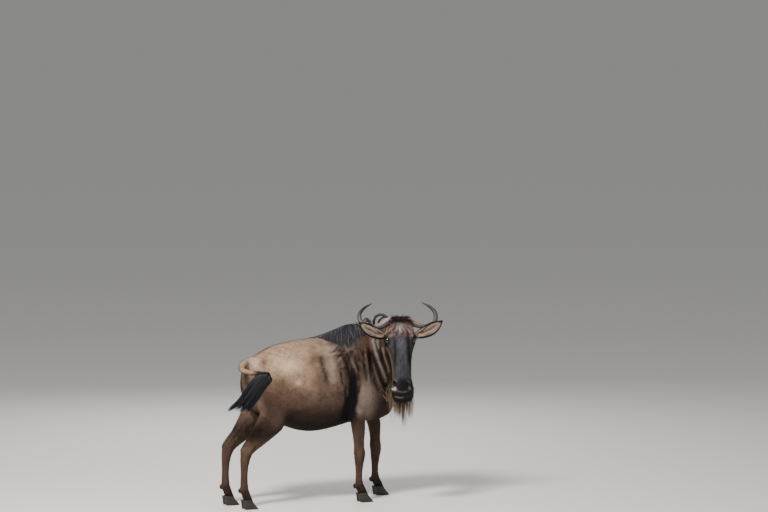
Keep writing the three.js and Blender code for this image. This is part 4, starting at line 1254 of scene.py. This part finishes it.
# %% Hooves
hoof_material, hoof_tree, hoof_shader = plain_material("hoof", 0.55)
hoof_grain = grained(hoof_tree, hoof_shader, 60, (0.3, 0.3, 2.5), 0.5, 0.0012)
ramp = add(hoof_tree, "ShaderNodeValToRGB")
ramp.color_ramp.elements[0].color = (0.006, 0.005, 0.005, 1)
ramp.color_ramp.elements[1].color = (0.040, 0.032, 0.027, 1)
hoof_tree.links.new(hoof_grain.outputs["Value"], ramp.inputs["Fac"])
hoof_tree.links.new(ramp.outputs["Color"], hoof_shader.inputs["Base Color"])
hoof_shader.inputs["Specular IOR Level"].default_value = 0.3
claws = [n for n in nodes if n.startswith("claw_")]
for name in claws:
    points, triangles, _ = joined([name], 0.0008)
    mesh = remeshed(points, triangles, 0.0024)
    points, ends = mesh_points(mesh), mesh_edges(mesh)
    count = edges_at(ends, len(points))
    for step in range(26):
        mean = neighbour_mean(points, ends, count)
        points += 0.5 * (mean - points)
    # growth rings run round the wall, level with the ground
    points[:, :2] += (points[:, :2] - points[:, :2].mean(axis=0)) * (
        0.012 * np.sin(points[:, 2] * 2 * math.pi / 0.007))[:, None]
    points[:, 2] = np.maximum(points[:, 2], 0)
    mesh.calc_loop_triangles()
    triangles = np.array([t.vertices for t in mesh.loop_triangles])
    hoof = mesh_object(name + "_wall", points, triangles, hoof_material)
    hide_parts(name)
print("hooves:", len(claws))

# %% [markdown]
# ## Long hair
# The mane, beard and tail are single hairs that hang. Blender's own hair would be lost when the
# part is exported, and a physics run would take long and end a little differently each time. So
# every strand starts in the skin, sets out along its own direction and bends down under its
# weight. After each step it is pushed out of the skin if it has sunk in, so that it drapes.

# %% Strands that drape
skin_mesh = skin.data
skin_mesh.calc_loop_triangles()
skin_triangles = taken(skin_mesh.loop_triangles, "vertices", 3, np.int32)
skin_points = mesh_points(skin_mesh)
skin_surface = BVHTree.FromPolygons(skin_points.tolist(), skin_triangles.tolist())
DOWN = np.array([0, 0, -1.0])


def drape(roots, starts, lengths, steps, weight, clear, pull=DOWN, surface=skin_surface):
    """Paths of hair that set out along starts, turn towards pull and stay above the surface."""
    paths = np.empty((len(roots), steps + 1, 3))
    paths[:, 0] = roots
    ways = unit(starts)
    for k in range(steps):
        ways = unit(ways + weight[:, None] * pull)
        ahead = paths[:, k] + ways * (lengths / steps)[:, None]
        for i, point in enumerate(ahead):
            spot, normal, index, distance = surface.find_nearest(point, 0.06)
            if spot is None:
                continue
            height = (Vector(point) - spot).dot(normal)
            need = clear[i] * min(1.0, (k + 1) / 2)
            if height < need:
                ahead[i] += np.array(normal) * (need - height)
        paths[:, k + 1] = ahead
        ways = unit(paths[:, k + 1] - paths[:, k])
    return paths

# %% [markdown]
# ## An unwrap for the hair
# An exported part carries its colours in a flat map, so the skin is cut open and laid flat. An
# unwrap by hand follows the seams, but Smart UV Project is enough where nobody paints on it. Each
# hair gets a small patch at its root's place in that map.

# %% An unwrap of the skin
bpy.context.view_layer.objects.active = skin
skin.select_set(True)
bpy.ops.object.mode_set(mode="EDIT")
bpy.ops.mesh.select_all(action="SELECT")
bpy.ops.uv.smart_project(angle_limit=1.2, island_margin=0.001)
bpy.ops.object.mode_set(mode="OBJECT")
skin.select_set(False)
corner_uv = taken(skin_mesh.uv_layers.active.data, "uv", 2)
skin_mesh.calc_loop_triangles()
triangle_uv = corner_uv[taken(skin_mesh.loop_triangles, "loops", 3, np.int32)]
print("unwrapped:", len(triangle_uv), "triangles")
PATCH = 0.0015


def bake_map(piece, root_uv, spots):
    """A small patch for each tuft, at its root's place. spots are the tuft's own corners."""
    uv = root_uv[:, None, :] + PATCH * np.asarray(spots)[None, :, :]
    uv = np.clip(uv.reshape(-1, 2), 0, 1)
    corners = taken(piece.data.loops, "vertex_index", 1, np.int32)[:, 0]
    layer = piece.data.uv_layers.new(name="OFBake")
    layer.data.foreach_set("uv", uv[corners].astype(np.float32).ravel())


def nearest_uv(roots):
    index = [skin_surface.find_nearest(point)[2] for point in roots]
    return triangle_uv[np.array(index)].mean(axis=1)

# %% [markdown]
# ## From a path to a hair
# A real hair is round and thins to its tip. From any distance three sides look round, and they
# cost half of what six do. The colour runs from a root colour to a tip colour on the points.

# %% Strands as tapered three-sided hairs
def strands(name, paths, widths, root_colour, tip_colour, material, flat=0.5):
    count, stops, _ = paths.shape
    along = unit(np.gradient(paths, axis=1))
    random = np.random.default_rng(count)
    helper = unit(random.normal(size=(count, 1, 3)))
    side = unit(np.cross(along, helper))
    top = np.cross(along, side)
    share = np.linspace(0, 1, stops)
    taper = np.where(share < 0.15, 0.7 + 2 * share, 1.0) * (1 - share**2.2)
    size = widths[:, None] * taper[None, :]
    turns = [0, 2 * math.pi / 3, 4 * math.pi / 3]
    ring = [side * math.cos(a) + flat * top * math.sin(a) for a in turns]
    points = np.stack([paths[:, :-1] + r[:, :-1] * size[:, :-1, None] for r in ring], axis=2)
    points = np.concatenate([points.reshape(count, -1, 3), paths[:, -1:]], axis=1)
    per = points.shape[1]
    triangles = []
    for i in range(stops - 2):
        for j in range(3):
            a, b = 3 * i + j, 3 * i + (j + 1) % 3
            triangles += [(a, b, a + 3), (b, b + 3, a + 3)]
    for j in range(3):
        triangles.append((3 * (stops - 2) + j, 3 * (stops - 2) + (j + 1) % 3, per - 1))
    triangles.append((2, 1, 0))
    triangles = np.array(triangles)[None] + per * np.arange(count)[:, None, None]
    piece = mesh_object(name, points.reshape(-1, 3), triangles.reshape(-1, 3), material)
    blend = np.concatenate([np.repeat(share[:-1], 3), [1.0]])
    fade = blend[None, :, None]
    colours = root_colour[:, None, :] * (1 - fade) + tip_colour[:, None, :] * fade
    paint(piece, colours.reshape(-1, 3))
    spots = [(math.cos(turns[i % 3]) * 0.9, 2 * b - 1) for i, b in enumerate(blend)]
    bake_map(piece, nearest_uv(paths[:, 0]), spots)
    return piece

# %% Three materials for hair
def hair_material(name, roughness, shine):
    material, tree, shader = plain_material(name, roughness)
    coat_coloured(tree, shader)
    shader.inputs["Specular IOR Level"].default_value = shine
    return material


black_hair = hair_material("black_hair", 0.45, 0.3)
pale_hair = hair_material("pale_hair", 0.6, 0.2)
coat_hair = hair_material("coat_hair", 0.6, 0.18)


def varied(colour, count, seed, spread=0.25):
    random = np.random.default_rng(seed)
    return colour * (1 + spread * (random.random((count, 1)) * 2 - 1))

# %% [markdown]
# ## Mane
# The mane is long, black and coarse. It grows in a strip along the crest and parts to both sides
# over the withers. Combed curves are the common way, but here the fall is set by rules: each
# strand picks a side, gets a length by its place and is then draped, with locks from slow waves.

# %% Roots along the crest
def surface_top(x, y):
    """The highest point of the skin over a place of the drawing, in metres."""
    hit = skin_surface.ray_cast(Vector(metres([x, y, 1500.0])), Vector((0, 0, -1)))
    return np.array(hit[0]), np.array(hit[1])


WITHERS_CREST = [(-232, 0), (-150, 0), (-60, 0), (20, -2), (90, -6)]
NECK_CREST = [(60, -3), (140, -12), (205, -48), (246, -105), (262, -170), (250, -230), (226, -290),
              (204, -335)]
# On the near side the mane is longest over the withers and ends at the neck
NEAR_SHARE = [0.0, 0.12, 0.28, 0.42, 0.58, 0.72, 0.86, 1.0]
NEAR_LENGTH = [0.020, 0.060, 0.110, 0.150, 0.180, 0.165, 0.110, 0.040]


def crest_roots(line, count, spread, seed):
    random = np.random.default_rng(seed)
    line = curve_through([(x, y, 0) for x, y in line], 400)[:, :2]
    way = unit(np.gradient(line, axis=0))
    share = random.random(count)
    k = (share * 399).astype(int)
    across = np.stack([way[k, 1], -way[k, 0]], axis=1)
    offset = random.normal(size=count).clip(-2, 2) * spread
    roots, outs = [], []
    for i in range(count):
        spot, normal = surface_top(*(line[k[i]] + across[i] * offset[i]))
        roots.append(spot)
        outs.append(normal)
    flat = np.zeros((count, 1))
    return (np.array(roots), np.array(outs), np.concatenate([way[k], flat], axis=1),
            np.concatenate([across, flat], axis=1), share)


def mane_colours(count, seed):
    random = np.random.default_rng(seed)
    root = varied(rgb(26, 27, 32), count, seed + 1, 0.35)
    tip = varied(rgb(50, 51, 59), count, seed + 2, 0.4)
    # a few paler strands: grey hair, partly painted sheen on the black mane
    light = random.random(count) < 0.14
    tip[light] = rgb(110, 106, 110)
    return root, tip

# %% Mane at the withers
count = 4500
random = np.random.default_rng(8)
roots, outs, along, across, share = crest_roots(WITHERS_CREST, count, 15, 7)
fall = np.where(random.random(count) < 0.74, 1.0, -1.0)
near = np.interp(share, NEAR_SHARE, NEAR_LENGTH)
length = np.where(fall > 0, near, 0.15) * (0.30 + 0.75 * random.random(count) ** 0.8)
lock = 0.07 * np.sin(share * 61 + 2 * fall) + 0.04 * random.normal(size=count)
starts = outs * 0.45 + across * (fall * (0.9 + lock))[:, None] - along * (0.62 + lock)[:, None]
starts += 0.04 * random.normal(size=(count, 3))
clear = 0.002 + 0.012 * random.random(count) * (0.3 + 0.7 * smooth(share, 0, 0.4))
paths = drape(roots - outs * 0.002, starts, length, 7, 0.45 + 0.15 * random.random(count), clear)
root, tip = mane_colours(count, 9)
mane = strands("mane_withers_hair", paths, 0.0016 + 0.0012 * random.random(count), root, tip,
               black_hair)
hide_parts("mane_withers")
print("mane at the withers:", len(mane.data.polygons), "faces")

# %% [markdown]
# ## Mane of the neck
# With the head turned back, the mane of the neck drops to the far side, and some locks stand up
# in arches behind the near horn. No rule of weight would lift them, so those few are drawn as
# lines seen in the picture, each with a depth, and spread into a lock by small random shifts.

# %% Mane on the neck
# It falls to the far side, but some of it stands up and arches over, seen against the sky
ARCHES = [
    [(374, 326, 62), (373.8, 319.4, 66), (376.3, 315.9, 72), (379.6, 314.6, 82), (383, 315, 92),
     (388, 317.5, 112), (393, 325, 135)],
    [(378.8, 326, 75), (378.8, 321.5, 78), (381.6, 318.2, 84), (384.6, 316.5, 92),
     (389, 318.5, 112), (392, 325, 130)],
    [(362.5, 327, 60), (363, 321.5, 60), (366, 318.4, 60), (369.2, 319.8, 60), (372.5, 327, 60)],
    [(364.4, 327, 60), (364.6, 322.5, 60), (367.6, 321.2, 60), (370.8, 327, 60)],
]
ARCH_STRANDS = 24
ARCH_STEPS = 8
count = 3000
random = np.random.default_rng(18)
roots, outs, along, across, share = crest_roots(NECK_CREST, count, 11, 17)
length = 0.165 * (0.45 + 0.55 * random.random(count)) * (1 - 0.45 * smooth(share, 0.8, 1.0))
lock = 0.12 * np.sin(share * 50) + 0.05 * random.normal(size=count)
starts = outs * 0.60 - across * (0.8 + lock)[:, None] - along * (0.25 + lock)[:, None]
starts += 0.05 * random.normal(size=(count, 3))
clear = 0.003 + 0.014 * random.random(count)
paths = drape(roots - outs * 0.002, starts, length, ARCH_STEPS - 1,
              0.42 + 0.15 * random.random(count), clear)
arches = []
for places in ARCHES:
    places = np.array(places, float)
    line = curve_through(metres(placed(places[:, :2], places[:, 2])), ARCH_STEPS)
    shift = 0.0026 * random.normal(size=(ARCH_STRANDS, 1, 3))
    loose = 0.002 * random.normal(size=(ARCH_STRANDS, ARCH_STEPS, 3))
    arches.append(line[None] + shift + loose)
arches = np.concatenate(arches)
paths = np.concatenate([paths, arches])
root, tip = mane_colours(len(paths), 19)
mane = strands("mane_neck_hair", paths, 0.0016 + 0.0012 * random.random(len(paths)), root, tip,
               black_hair)
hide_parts("mane_neck")
print("mane on the neck:", len(mane.data.polygons), "faces")

# %% [markdown]
# ## Tail
# The tassel is a bundle of long black hairs, caught in the middle of a swing. Draping would let it
# hang straight, so its two edges are drawn as they are seen. Each strand runs at its own share
# between them, with a depth that makes the bundle round.

# %% Tail
# The tassel is swung to the near side. Its strands run between two edges, upper and lower
TASSEL_UPPER = [(261, 370.5), (255, 376.5), (248.5, 385), (242.5, 395), (236, 403.5), (226.5, 411)]
TASSEL_LOWER = [(273.5, 374.5), (272.5, 380), (266.5, 387), (260, 396), (254, 405), (247.5, 413)]
TASSEL_DEPTH = 708
TASSEL_STEPS = 8
count = 2900
random = np.random.default_rng(91)
upper = curve_through([(u, v, 0) for u, v in TASSEL_UPPER], TASSEL_STEPS * 8)[:, :2]
lower = curve_through([(u, v, 0) for u, v in TASSEL_LOWER], TASSEL_STEPS * 8)[:, :2]
across = random.random(count)
reach = 0.80 + 0.06 * np.sin(across * 23) + 0.16 * random.random(count) ** 2
reach += 0.10 * (bell(across - 0.05, 0.10) + bell(across - 0.62, 0.07) + bell(across - 0.95, 0.08))
reach = np.minimum(reach * np.where(random.random(count) < 0.3, 0.75, 1.0), 1.0)
depth = 26 * np.sqrt(np.maximum(0.1, 1 - (2 * across - 1) ** 2)) * (2 * random.random(count) - 1)
paths = np.empty((count, TASSEL_STEPS, 3))
loose = random.normal(size=(count, 3)) * 5
for step, s in enumerate(np.linspace(0, 1, TASSEL_STEPS)):
    start = 0.13 * (2 * across - 1) ** 2
    k = ((start + s * (reach - start)) * (len(upper) - 1)).astype(int)
    clump = 0.035 * np.sin(across * 57) * s
    share = (across + clump)[:, None]
    spots = upper[k] * (1 - share) + lower[k] * share
    thick = depth * (0.9 + 0.35 * math.sin(math.pi * s) - 0.45 * s)
    paths[:, step] = placed(spots, TASSEL_DEPTH + thick) + loose * s
root, tip = varied(rgb(10, 10, 13), count, 92, 0.4), varied(rgb(22, 25, 32), count, 93, 0.4)
# a few strands with pale blue-grey tips: painted sheen on the black tassel
light = random.random(count) < 0.12
tip[light] = rgb(62, 68, 80)
tassel = strands("tail_hair", metres(paths), 0.0022 + 0.0014 * random.random(count), root, tip,
                 black_hair)
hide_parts("tail_tassel")
print("tassel:", len(tassel.data.polygons), "faces")

# %% [markdown]
# ## Beard and throat
# The chin has a pale beard, and a thinner fringe runs down the throat: the white beard that this
# kind is named for, yellowed by dust. Both are draped like the mane. Damp or dusty hair clumps,
# so each strand's tip is drawn towards one of a few centres.

# %% Roots under the head, and clumps
def under_roots(line, spread, count, seed):
    """Roots on the underside of the head, about a line drawn in the head's frame."""
    random = np.random.default_rng(seed)
    rows = curve_through(line, 200)
    k = (random.random(count) ** 0.7 * 199).astype(int)
    start = rows[k, :3].copy()
    start[:, 1] += random.normal(size=count) * spread
    roots, outs = [], []
    way = Vector(head_out.tolist())
    for point in start:
        hit = skin_surface.ray_cast(Vector(metres(from_head(point + [0, 0, -260]))), way)
        roots.append(np.array(hit[0]) if hit[0] else metres(from_head(point)))
        outs.append(np.array(hit[1]) if hit[0] else -head_out)
    return np.array(roots), np.array(outs), k / 199.0


def gathered(paths, groups, share, seed):
    """Draws each strand's tip towards one of a few centres, as damp hair clumps."""
    random = np.random.default_rng(seed)
    heads = random.choice(len(paths), groups, replace=False)
    apart = np.linalg.norm(paths[:, None, 0] - paths[None, heads, 0], axis=2)
    nearest = heads[np.argmin(apart, axis=1)]
    pull = (share * np.linspace(0, 1, paths.shape[1]) ** 1.5)[None, :, None]
    return paths * (1 - pull) + (paths[nearest] + 0.15 * (paths[:, :1] - paths[nearest, :1])) * pull

# %% Beard
BEARD_LINE = [(320, 0, -172), (380, 0, -150), (450, 0, -126), (530, 0, -118)]
count = 1000
random = np.random.default_rng(31)
roots, outs, share = under_roots(BEARD_LINE, 33, count, 32)
length = 0.205 * (0.35 + 0.65 * random.random(count)) * (0.55 + 0.45 * share)
starts = outs * 0.5 + DOWN * 0.9 + 0.10 * random.normal(size=(count, 3))
weight = 0.5 + 0.2 * random.random(count)
paths = drape(roots - outs * 0.002, starts, length, 6, weight, np.full(count, 0.002))
paths = gathered(paths, 26, 0.55, 34)
pale = varied(rgb(142, 121, 98), count, 33, 0.3)
pale[random.random(count) < 0.35] = rgb(70, 50, 38)
beard = strands("beard", paths, 0.0009 + 0.0007 * random.random(count), pale * 0.6, pale, pale_hair)
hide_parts("beard_chin")
print("beard:", len(beard.data.polygons), "faces")

# %% Throat fringe
THROAT = [(216, -290, 1070), (246, -205, 930), (268, -130, 835), (262, -60, 745)]
count = 1300
random = np.random.default_rng(57)
throat = curve_through(THROAT, 200)
k = (random.random(count) * 199).astype(int)
near = throat[k, :3] + random.normal(size=(count, 3)) * [15, 10, 8]
hits = [skin_surface.find_nearest(Vector(point)) for point in metres(near)]
roots = np.array([hit[0] for hit in hits])
outs = np.array([hit[1] for hit in hits])
length = 0.120 * (0.35 + 0.65 * random.random(count))
starts = outs * 0.3 + DOWN + view_right * 0.15 + 0.08 * random.normal(size=(count, 3))
weight = 0.6 + 0.2 * random.random(count)
paths = drape(roots - outs * 0.002, starts, length, 6, weight, np.full(count, 0.002))
paths = gathered(paths, 50, 0.55, 59)
pale = varied(rgb(74, 66, 60), count, 58, 0.3)
pale[random.random(count) < 0.3] = rgb(52, 42, 37)
fringe = strands("throat_fringe", paths, 0.0010 + 0.0008 * random.random(count), pale * 0.4, pale,
                 pale_hair)
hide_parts("beard_throat")
print("throat fringe:", len(fringe.data.polygons), "faces")

# %% [markdown]
# ## Forelock
# Short, rough hair covers the crown and laps against the roots of the horns. Rays find its roots
# on the skin and the horn sheaths together, so that no hair starts inside a horn. The front part
# lies down the forehead in its colours, and the back part stands up darker.

# %% Roots on the crown
shells = [(skin_points, skin_triangles)] + horn_shells
starts_at = np.cumsum([0] + [len(p) for p, _ in shells])
crown_surface = BVHTree.FromPolygons(
    np.concatenate([p for p, _ in shells]).tolist(),
    np.concatenate([t + at for (_, t), at in zip(shells, starts_at)]).tolist())


def cast_on(surface, places, way):
    """Where rays from these places of the head's frame, going along way, meet the surface."""
    ray = way[0] * head_along + way[1] * head_left + way[2] * head_out
    roots, outs, kept = [], [], []
    for i, place in enumerate(places - 120 * np.asarray(way)):
        hit = surface.ray_cast(Vector(metres(from_head(place))), Vector(ray.tolist()), 0.3)
        if hit[0] is not None:
            roots.append(np.array(hit[0]))
            outs.append(np.array(hit[1]))
            kept.append(i)
    return np.array(roots), np.array(outs), np.array(kept)

# %% Forelock, the part that lies down the forehead
random = np.random.default_rng(73)
count = 1900
start = np.stack([2 + 74 * random.random(count), 68 * (random.random(count) * 2 - 1),
                  np.full(count, 20.0)], axis=1)
roots, outs, kept = cast_on(crown_surface, start, (0.0, 0.0, -1.0))
start = start[kept]
count = len(kept)
length = 0.036 * (0.6 + 0.6 * random.random(count))
sideways = head_left[None] * (start[:, 1] / 55)[:, None]
starts = outs * 0.30 + head_along * 0.75 + sideways + 0.14 * random.normal(size=(count, 3))
paths = drape(roots - outs * 0.001, starts, length, 5, 0.20 + 0.2 * random.random(count),
              0.001 + 0.003 * random.random(count), head_along - 0.4 * head_out, crown_surface)
brown = head_colour(drawing(roots), outs) * (0.75 + 0.6 * random.random((count, 1)))
front_paths, front_colour = paths, brown

# %% Forelock, the part that stands between the horns
count = 1500
start = np.stack([-14 + 26 * random.random(count), 37 * (random.random(count) * 2 - 1),
                  np.full(count, -10.0)], axis=1)
roots, outs, kept = cast_on(crown_surface, start, (0.78, 0.0, -0.62))
start = start[kept]
count = len(kept)
length = 0.030 * (0.5 + 0.6 * random.random(count)) * (1 + 0.9 * (random.random(count) < 0.2))
sideways = head_left[None] * (start[:, 1] / 38)[:, None]
starts = outs * 0.70 + head_along * 0.20 + sideways + 0.30 * random.normal(size=(count, 3))
paths = drape(roots - outs * 0.001, starts, length, 5, 0.18 + 0.2 * random.random(count),
              0.001 + 0.003 * random.random(count), head_along, crown_surface)
paths = np.concatenate([front_paths, paths])
dark = varied(rgb(50, 38, 34), count, 75, 0.9)
brown = np.concatenate([front_colour, dark])
forelock = strands("forelock_hair", paths, 0.0010 + 0.0007 * random.random(len(paths)),
                   brown * 0.65, brown * 1.1, coat_hair)
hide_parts("forelock")
print("forelock:", len(forelock.data.polygons), "faces")

# %% [markdown]
# ## The coat
# A wildebeest is short and sleek in the body, so most of its hair is only grain on the skin.
# Hairs one by one would need millions, and a plain bump shows no edge against the light. Small
# flat tufts are the middle way: they lie back along the trunk, down the legs and down the face.

# %% Which way the hair lies
def lie_of_hair(points, normals, parts):
    p = drawing(points)
    q = to_head(p)
    x, y, z = p.T
    flat = np.zeros(len(p))
    fore = smooth(x, -260, 0)
    trunk = np.stack([-1 + 0.6 * fore, flat, -0.25 - 0.85 * fore], axis=1)
    neck = np.tile(unit([-0.35, 0.55, -0.8]), (len(p), 1))
    leg = np.tile(unit([-0.12, 0, -1]), (len(p), 1))
    cheek = np.outer(smooth(np.abs(q[:, 1]), 40, 80), -head_out) + 0.4 * head_along
    side = np.sign(q[:, 1])[:, None]
    ear_way = unit(EAR_TIP - EAR_ROOT)
    ear = ear_way[0] * head_along + ear_way[1] * side * head_left + ear_way[2] * head_out
    tail = np.tile(unit([-0.4, -0.9, -0.1]), (len(p), 1))
    way = (parts["torso"][:, None] * trunk + parts["neck"][:, None] * neck
           + sum(parts[name] for name in LEGS)[:, None] * leg
           + parts["head"][:, None] * (cheek + 0.6 * head_along)
           + (parts["ear_left"] + parts["ear_right"])[:, None] * ear
           + parts["tail_stem"][:, None] * tail)
    way -= normals * (way * normals).sum(axis=1, keepdims=True)
    return unit(way)


skin_normals = mesh_normals(skin_mesh)
lie = lie_of_hair(skin_points, skin_normals, parts)
corners = skin_points[skin_triangles]
triangle_area = 0.5 * np.linalg.norm(
    np.cross(corners[:, 1] - corners[:, 0], corners[:, 2] - corners[:, 0]), axis=1)
print("skin area:", round(triangle_area.sum(), 2), "square metres")

# %% [markdown]
# ## One tuft
# A tuft is a narrow blade of three faces, sunk a little at its root. Tufts are scattered by area,
# so that small triangles don't crowd them. A flat blade would glint like a scale, so each is
# shaded with the skin's own normal, tipped a little, and all of them look like one coat.

# %% Tufts over the skin
TUFT_SPOTS = [(-1, -1), (1, -1), (-1, 0), (1, 0), (0, 1)]
TIP_SHADE = 1.16


def tufts(name, amount, count, length, width, lift, seed):
    """amount says how thick the tufts stand at each point; length and width are in metres."""
    random = np.random.default_rng(seed)
    weight = triangle_area * amount[skin_triangles].mean(axis=1)
    steps = np.cumsum(weight)
    pick = np.searchsorted(steps, random.random(count) * steps[-1])
    a, b = np.sqrt(random.random(count)), random.random(count)
    bary = np.stack([1 - a, a * (1 - b), a * b], axis=1)

    def at(values):
        return (values[skin_triangles[pick]] * bary[:, :, None]).sum(axis=1)

    root, normal = at(skin_points), unit(at(skin_normals))
    way = unit(at(lie) + 0.16 * random.normal(size=(count, 3)))
    way = unit(way - normal * (way * normal).sum(axis=1, keepdims=True))
    side = np.cross(way, normal)
    long = at(length[:, None]) * (0.65 + 0.6 * random.random((count, 1)))
    half = 0.5 * at(width[:, None]) * (0.7 + 0.6 * random.random((count, 1)))
    rise = lift * (0.5 + random.random((count, 1)))
    foot = root - 0.0007 * normal
    middle = root + way * long * 0.5 + normal * long * rise
    tip = root + way * long + normal * long * rise * 1.2
    points = np.stack([foot - side * half, foot + side * half, middle - side * half * 0.8,
                       middle + side * half * 0.8, tip], axis=1)
    triangles = np.array([(0, 1, 3), (0, 3, 2), (2, 3, 4)])[None]
    triangles = triangles + 5 * np.arange(count)[:, None, None]
    piece = mesh_object(name, points.reshape(-1, 3), triangles.reshape(-1, 3), coat_hair)
    tone = at(skin_colour) * (0.80 + 0.42 * random.random((count, 1)))
    shades = np.array([ROOT_SHADE, ROOT_SHADE, 1.0, 1.0, TIP_SHADE])[None, :, None]
    paint(piece, (tone[:, None, :] * shades).reshape(-1, 3))
    uv = (triangle_uv[pick] * bary[:, :, None]).sum(axis=1)
    bake_map(piece, uv, TUFT_SPOTS)
    lean = unit(normal[:, None, :] + 0.25 * way[:, None, :] * rise[:, None]
                + 0.10 * random.normal(size=(count, 1, 3)))
    shown = np.repeat(lean, 5, axis=1).reshape(-1, 3)
    piece.data.normals_split_custom_set_from_vertices(shown.astype(np.float32))
    return piece

# %% Lay the coat
p = drawing(skin_points)
on_head, on_torso, on_neck = parts["head"], parts["torso"], parts["neck"]
on_tail = parts["tail_stem"]
long = (0.011 * on_torso + 0.012 * on_neck + 0.009 * on_legs + 0.0065 * on_head + 0.008 * on_ears
        + 0.012 * on_tail)
folded = mirrored(to_head(p))
long *= 1 - 0.45 * on_head * smooth(folded[:, 0], 360, 430)
wide = 0.0022 * (on_torso + on_neck) + 0.0016 * (on_legs + on_tail) + 0.0011 * (on_head + on_ears)
bare = bell(line_distance(folded, MOUTH), 6) * on_head
pit = line_distance(folded, [(418, 56, -26), (434, 62, -32), (462, 50, -52)])
bare = np.maximum(bare, bell(pit, 10) * on_head)
near_eye = np.linalg.norm(folded - EYE, axis=1)
bare = np.maximum(bare, smooth(near_eye, 27, 20) * on_head)
left = smooth(p[:, 1], -6, 6)
behind = smooth(p[:, 0], -330, -350)
COAT = [
    ("coat_right_back", on_torso * (1 - left) * behind, 38000, 0.11),
    ("coat_right_front", on_torso * (1 - left) * (1 - behind), 46000, 0.11),
    ("coat_left_back", on_torso * left * behind, 30000, 0.11),
    ("coat_left_front", on_torso * left * (1 - behind), 38000, 0.11),
    ("coat_neck", on_neck, 36000, 0.13),
    ("coat_legs", on_legs + on_tail, 50000, 0.11),
    ("coat_head", (on_head + on_ears) * (1 - bare), 60000, 0.10),
]
FIRST_SEED = 201
for k, (name, amount, number, rise) in enumerate(COAT):
    piece = tufts(name, amount, number, long, wide, rise, FIRST_SEED + k)
    print(piece.name, len(piece.data.polygons), "faces")

# %% [markdown]
# ## Bristles and lashes
# Stiff single hairs stand round the lips and on the upper lids. They only follow a surface, so
# Geometry Nodes scatters them: points on a patch of the skin, and a thin cone at each one.

# %% A scatter of bristles
def bristle_group():
    group = bpy.data.node_groups.new("Bristles", "GeometryNodeTree")
    socket = group.interface.new_socket
    socket("Patch", in_out="INPUT", socket_type="NodeSocketGeometry")
    for name, kind in (("Per square metre", "Float"), ("Length", "Float"), ("Thickness", "Float"),
                       ("Tilt", "Float"), ("Seed", "Int"), ("Material", "Material")):
        socket(name, in_out="INPUT", socket_type="NodeSocket" + kind)
    socket("Hairs", in_out="OUTPUT", socket_type="NodeSocketGeometry")
    given, given_out = add(group, "NodeGroupInput"), add(group, "NodeGroupOutput")
    scatter = add(group, "GeometryNodeDistributePointsOnFaces")
    cone = add(group, "GeometryNodeMeshCone")
    cone.inputs["Vertices"].default_value = 4
    tilt = add(group, "FunctionNodeRandomValue", data_type="FLOAT_VECTOR")
    size = add(group, "FunctionNodeRandomValue", data_type="FLOAT")
    size.inputs[2].default_value, size.inputs[3].default_value = 0.5, 1.0
    lower = add(group, "ShaderNodeMath", operation="MULTIPLY")
    lower.inputs[1].default_value = -1
    euler = add(group, "FunctionNodeEulerToRotation")
    turn = add(group, "FunctionNodeRotateRotation", rotation_space="LOCAL")
    plant = add(group, "GeometryNodeInstanceOnPoints")
    real = add(group, "GeometryNodeRealizeInstances")
    cover = add(group, "GeometryNodeSetMaterial")
    wired(group, [
        (given, "Patch", scatter, "Mesh"), (given, "Per square metre", scatter, "Density"),
        (given, "Seed", scatter, "Seed"), (given, "Thickness", cone, "Radius Bottom"),
        (given, "Length", cone, "Depth"), (given, "Tilt", lower, 0), (lower, 0, tilt, 0),
        (given, "Tilt", tilt, 1), (given, "Seed", tilt, "Seed"), (given, "Seed", size, "Seed"),
        (tilt, 0, euler, 0), (scatter, "Rotation", turn, 0), (euler, 0, turn, 1),
        (scatter, "Points", plant, "Points"), (cone, "Mesh", plant, "Instance"),
        (turn, 0, plant, "Rotation"), (size, 1, plant, "Scale"),
        (plant, "Instances", real, "Geometry"), (real, "Geometry", cover, "Geometry"),
        (given, "Material", cover, "Material"), (cover, "Geometry", given_out, "Hairs"),
    ])
    return group


BRISTLES = bristle_group()
bristle_material, _, bristle_shader = plain_material("bristle", 0.5)
bristle_shader.inputs["Base Color"].default_value = (0.012, 0.010, 0.010, 1)


def bristles(name, chosen, values):
    """Bristles over the skin's chosen triangles; values are the scatter's named inputs."""
    base = mesh_object(name + "_patch", skin_points, skin_triangles[chosen], bristle_material,
                       body=None)
    scatter = base.modifiers.new("bristles", "NODES")
    scatter.node_group = BRISTLES
    for item in BRISTLES.interface.items_tree:
        if item.in_out == "INPUT" and item.name in values:
            scatter[item.identifier] = values[item.name]
    mesh = evaluated(base)
    mesh.name = name
    hairs = bpy.data.objects.new(name, mesh)
    bpy.context.collection.objects.link(hairs)
    bpy.data.objects.remove(base)
    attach(hairs, "root")
    print(name, len(mesh.polygons), "faces")

# %% Bristles round the lips, and lashes
middle_of = to_head(drawing(corners.mean(axis=1)))
folded = mirrored(middle_of)
triangle_head = on_head[skin_triangles].min(axis=1) > 0.9
lips = (line_distance(folded, MOUTH) < 22) | (line_distance(
    folded, [(462, 66, -62), (480, 58, -56), (500, 40, -50)]) < 12)
bristles("lip_bristles", triangle_head & lips,
         {"Per square metre": 14000.0, "Length": 0.016, "Thickness": 0.00035, "Tilt": 0.6,
          "Seed": 4, "Material": bristle_material})
lid = np.linalg.norm(folded - EYE, axis=1)
upper_lid = triangle_head & (lid < 27) & (lid > 21) & (folded[:, 0] < EYE[0] - 4)
bristles("eyelashes", upper_lid,
         {"Per square metre": 120000.0, "Length": 0.018, "Thickness": 0.00045, "Tilt": 0.35,
          "Seed": 9, "Material": bristle_material})
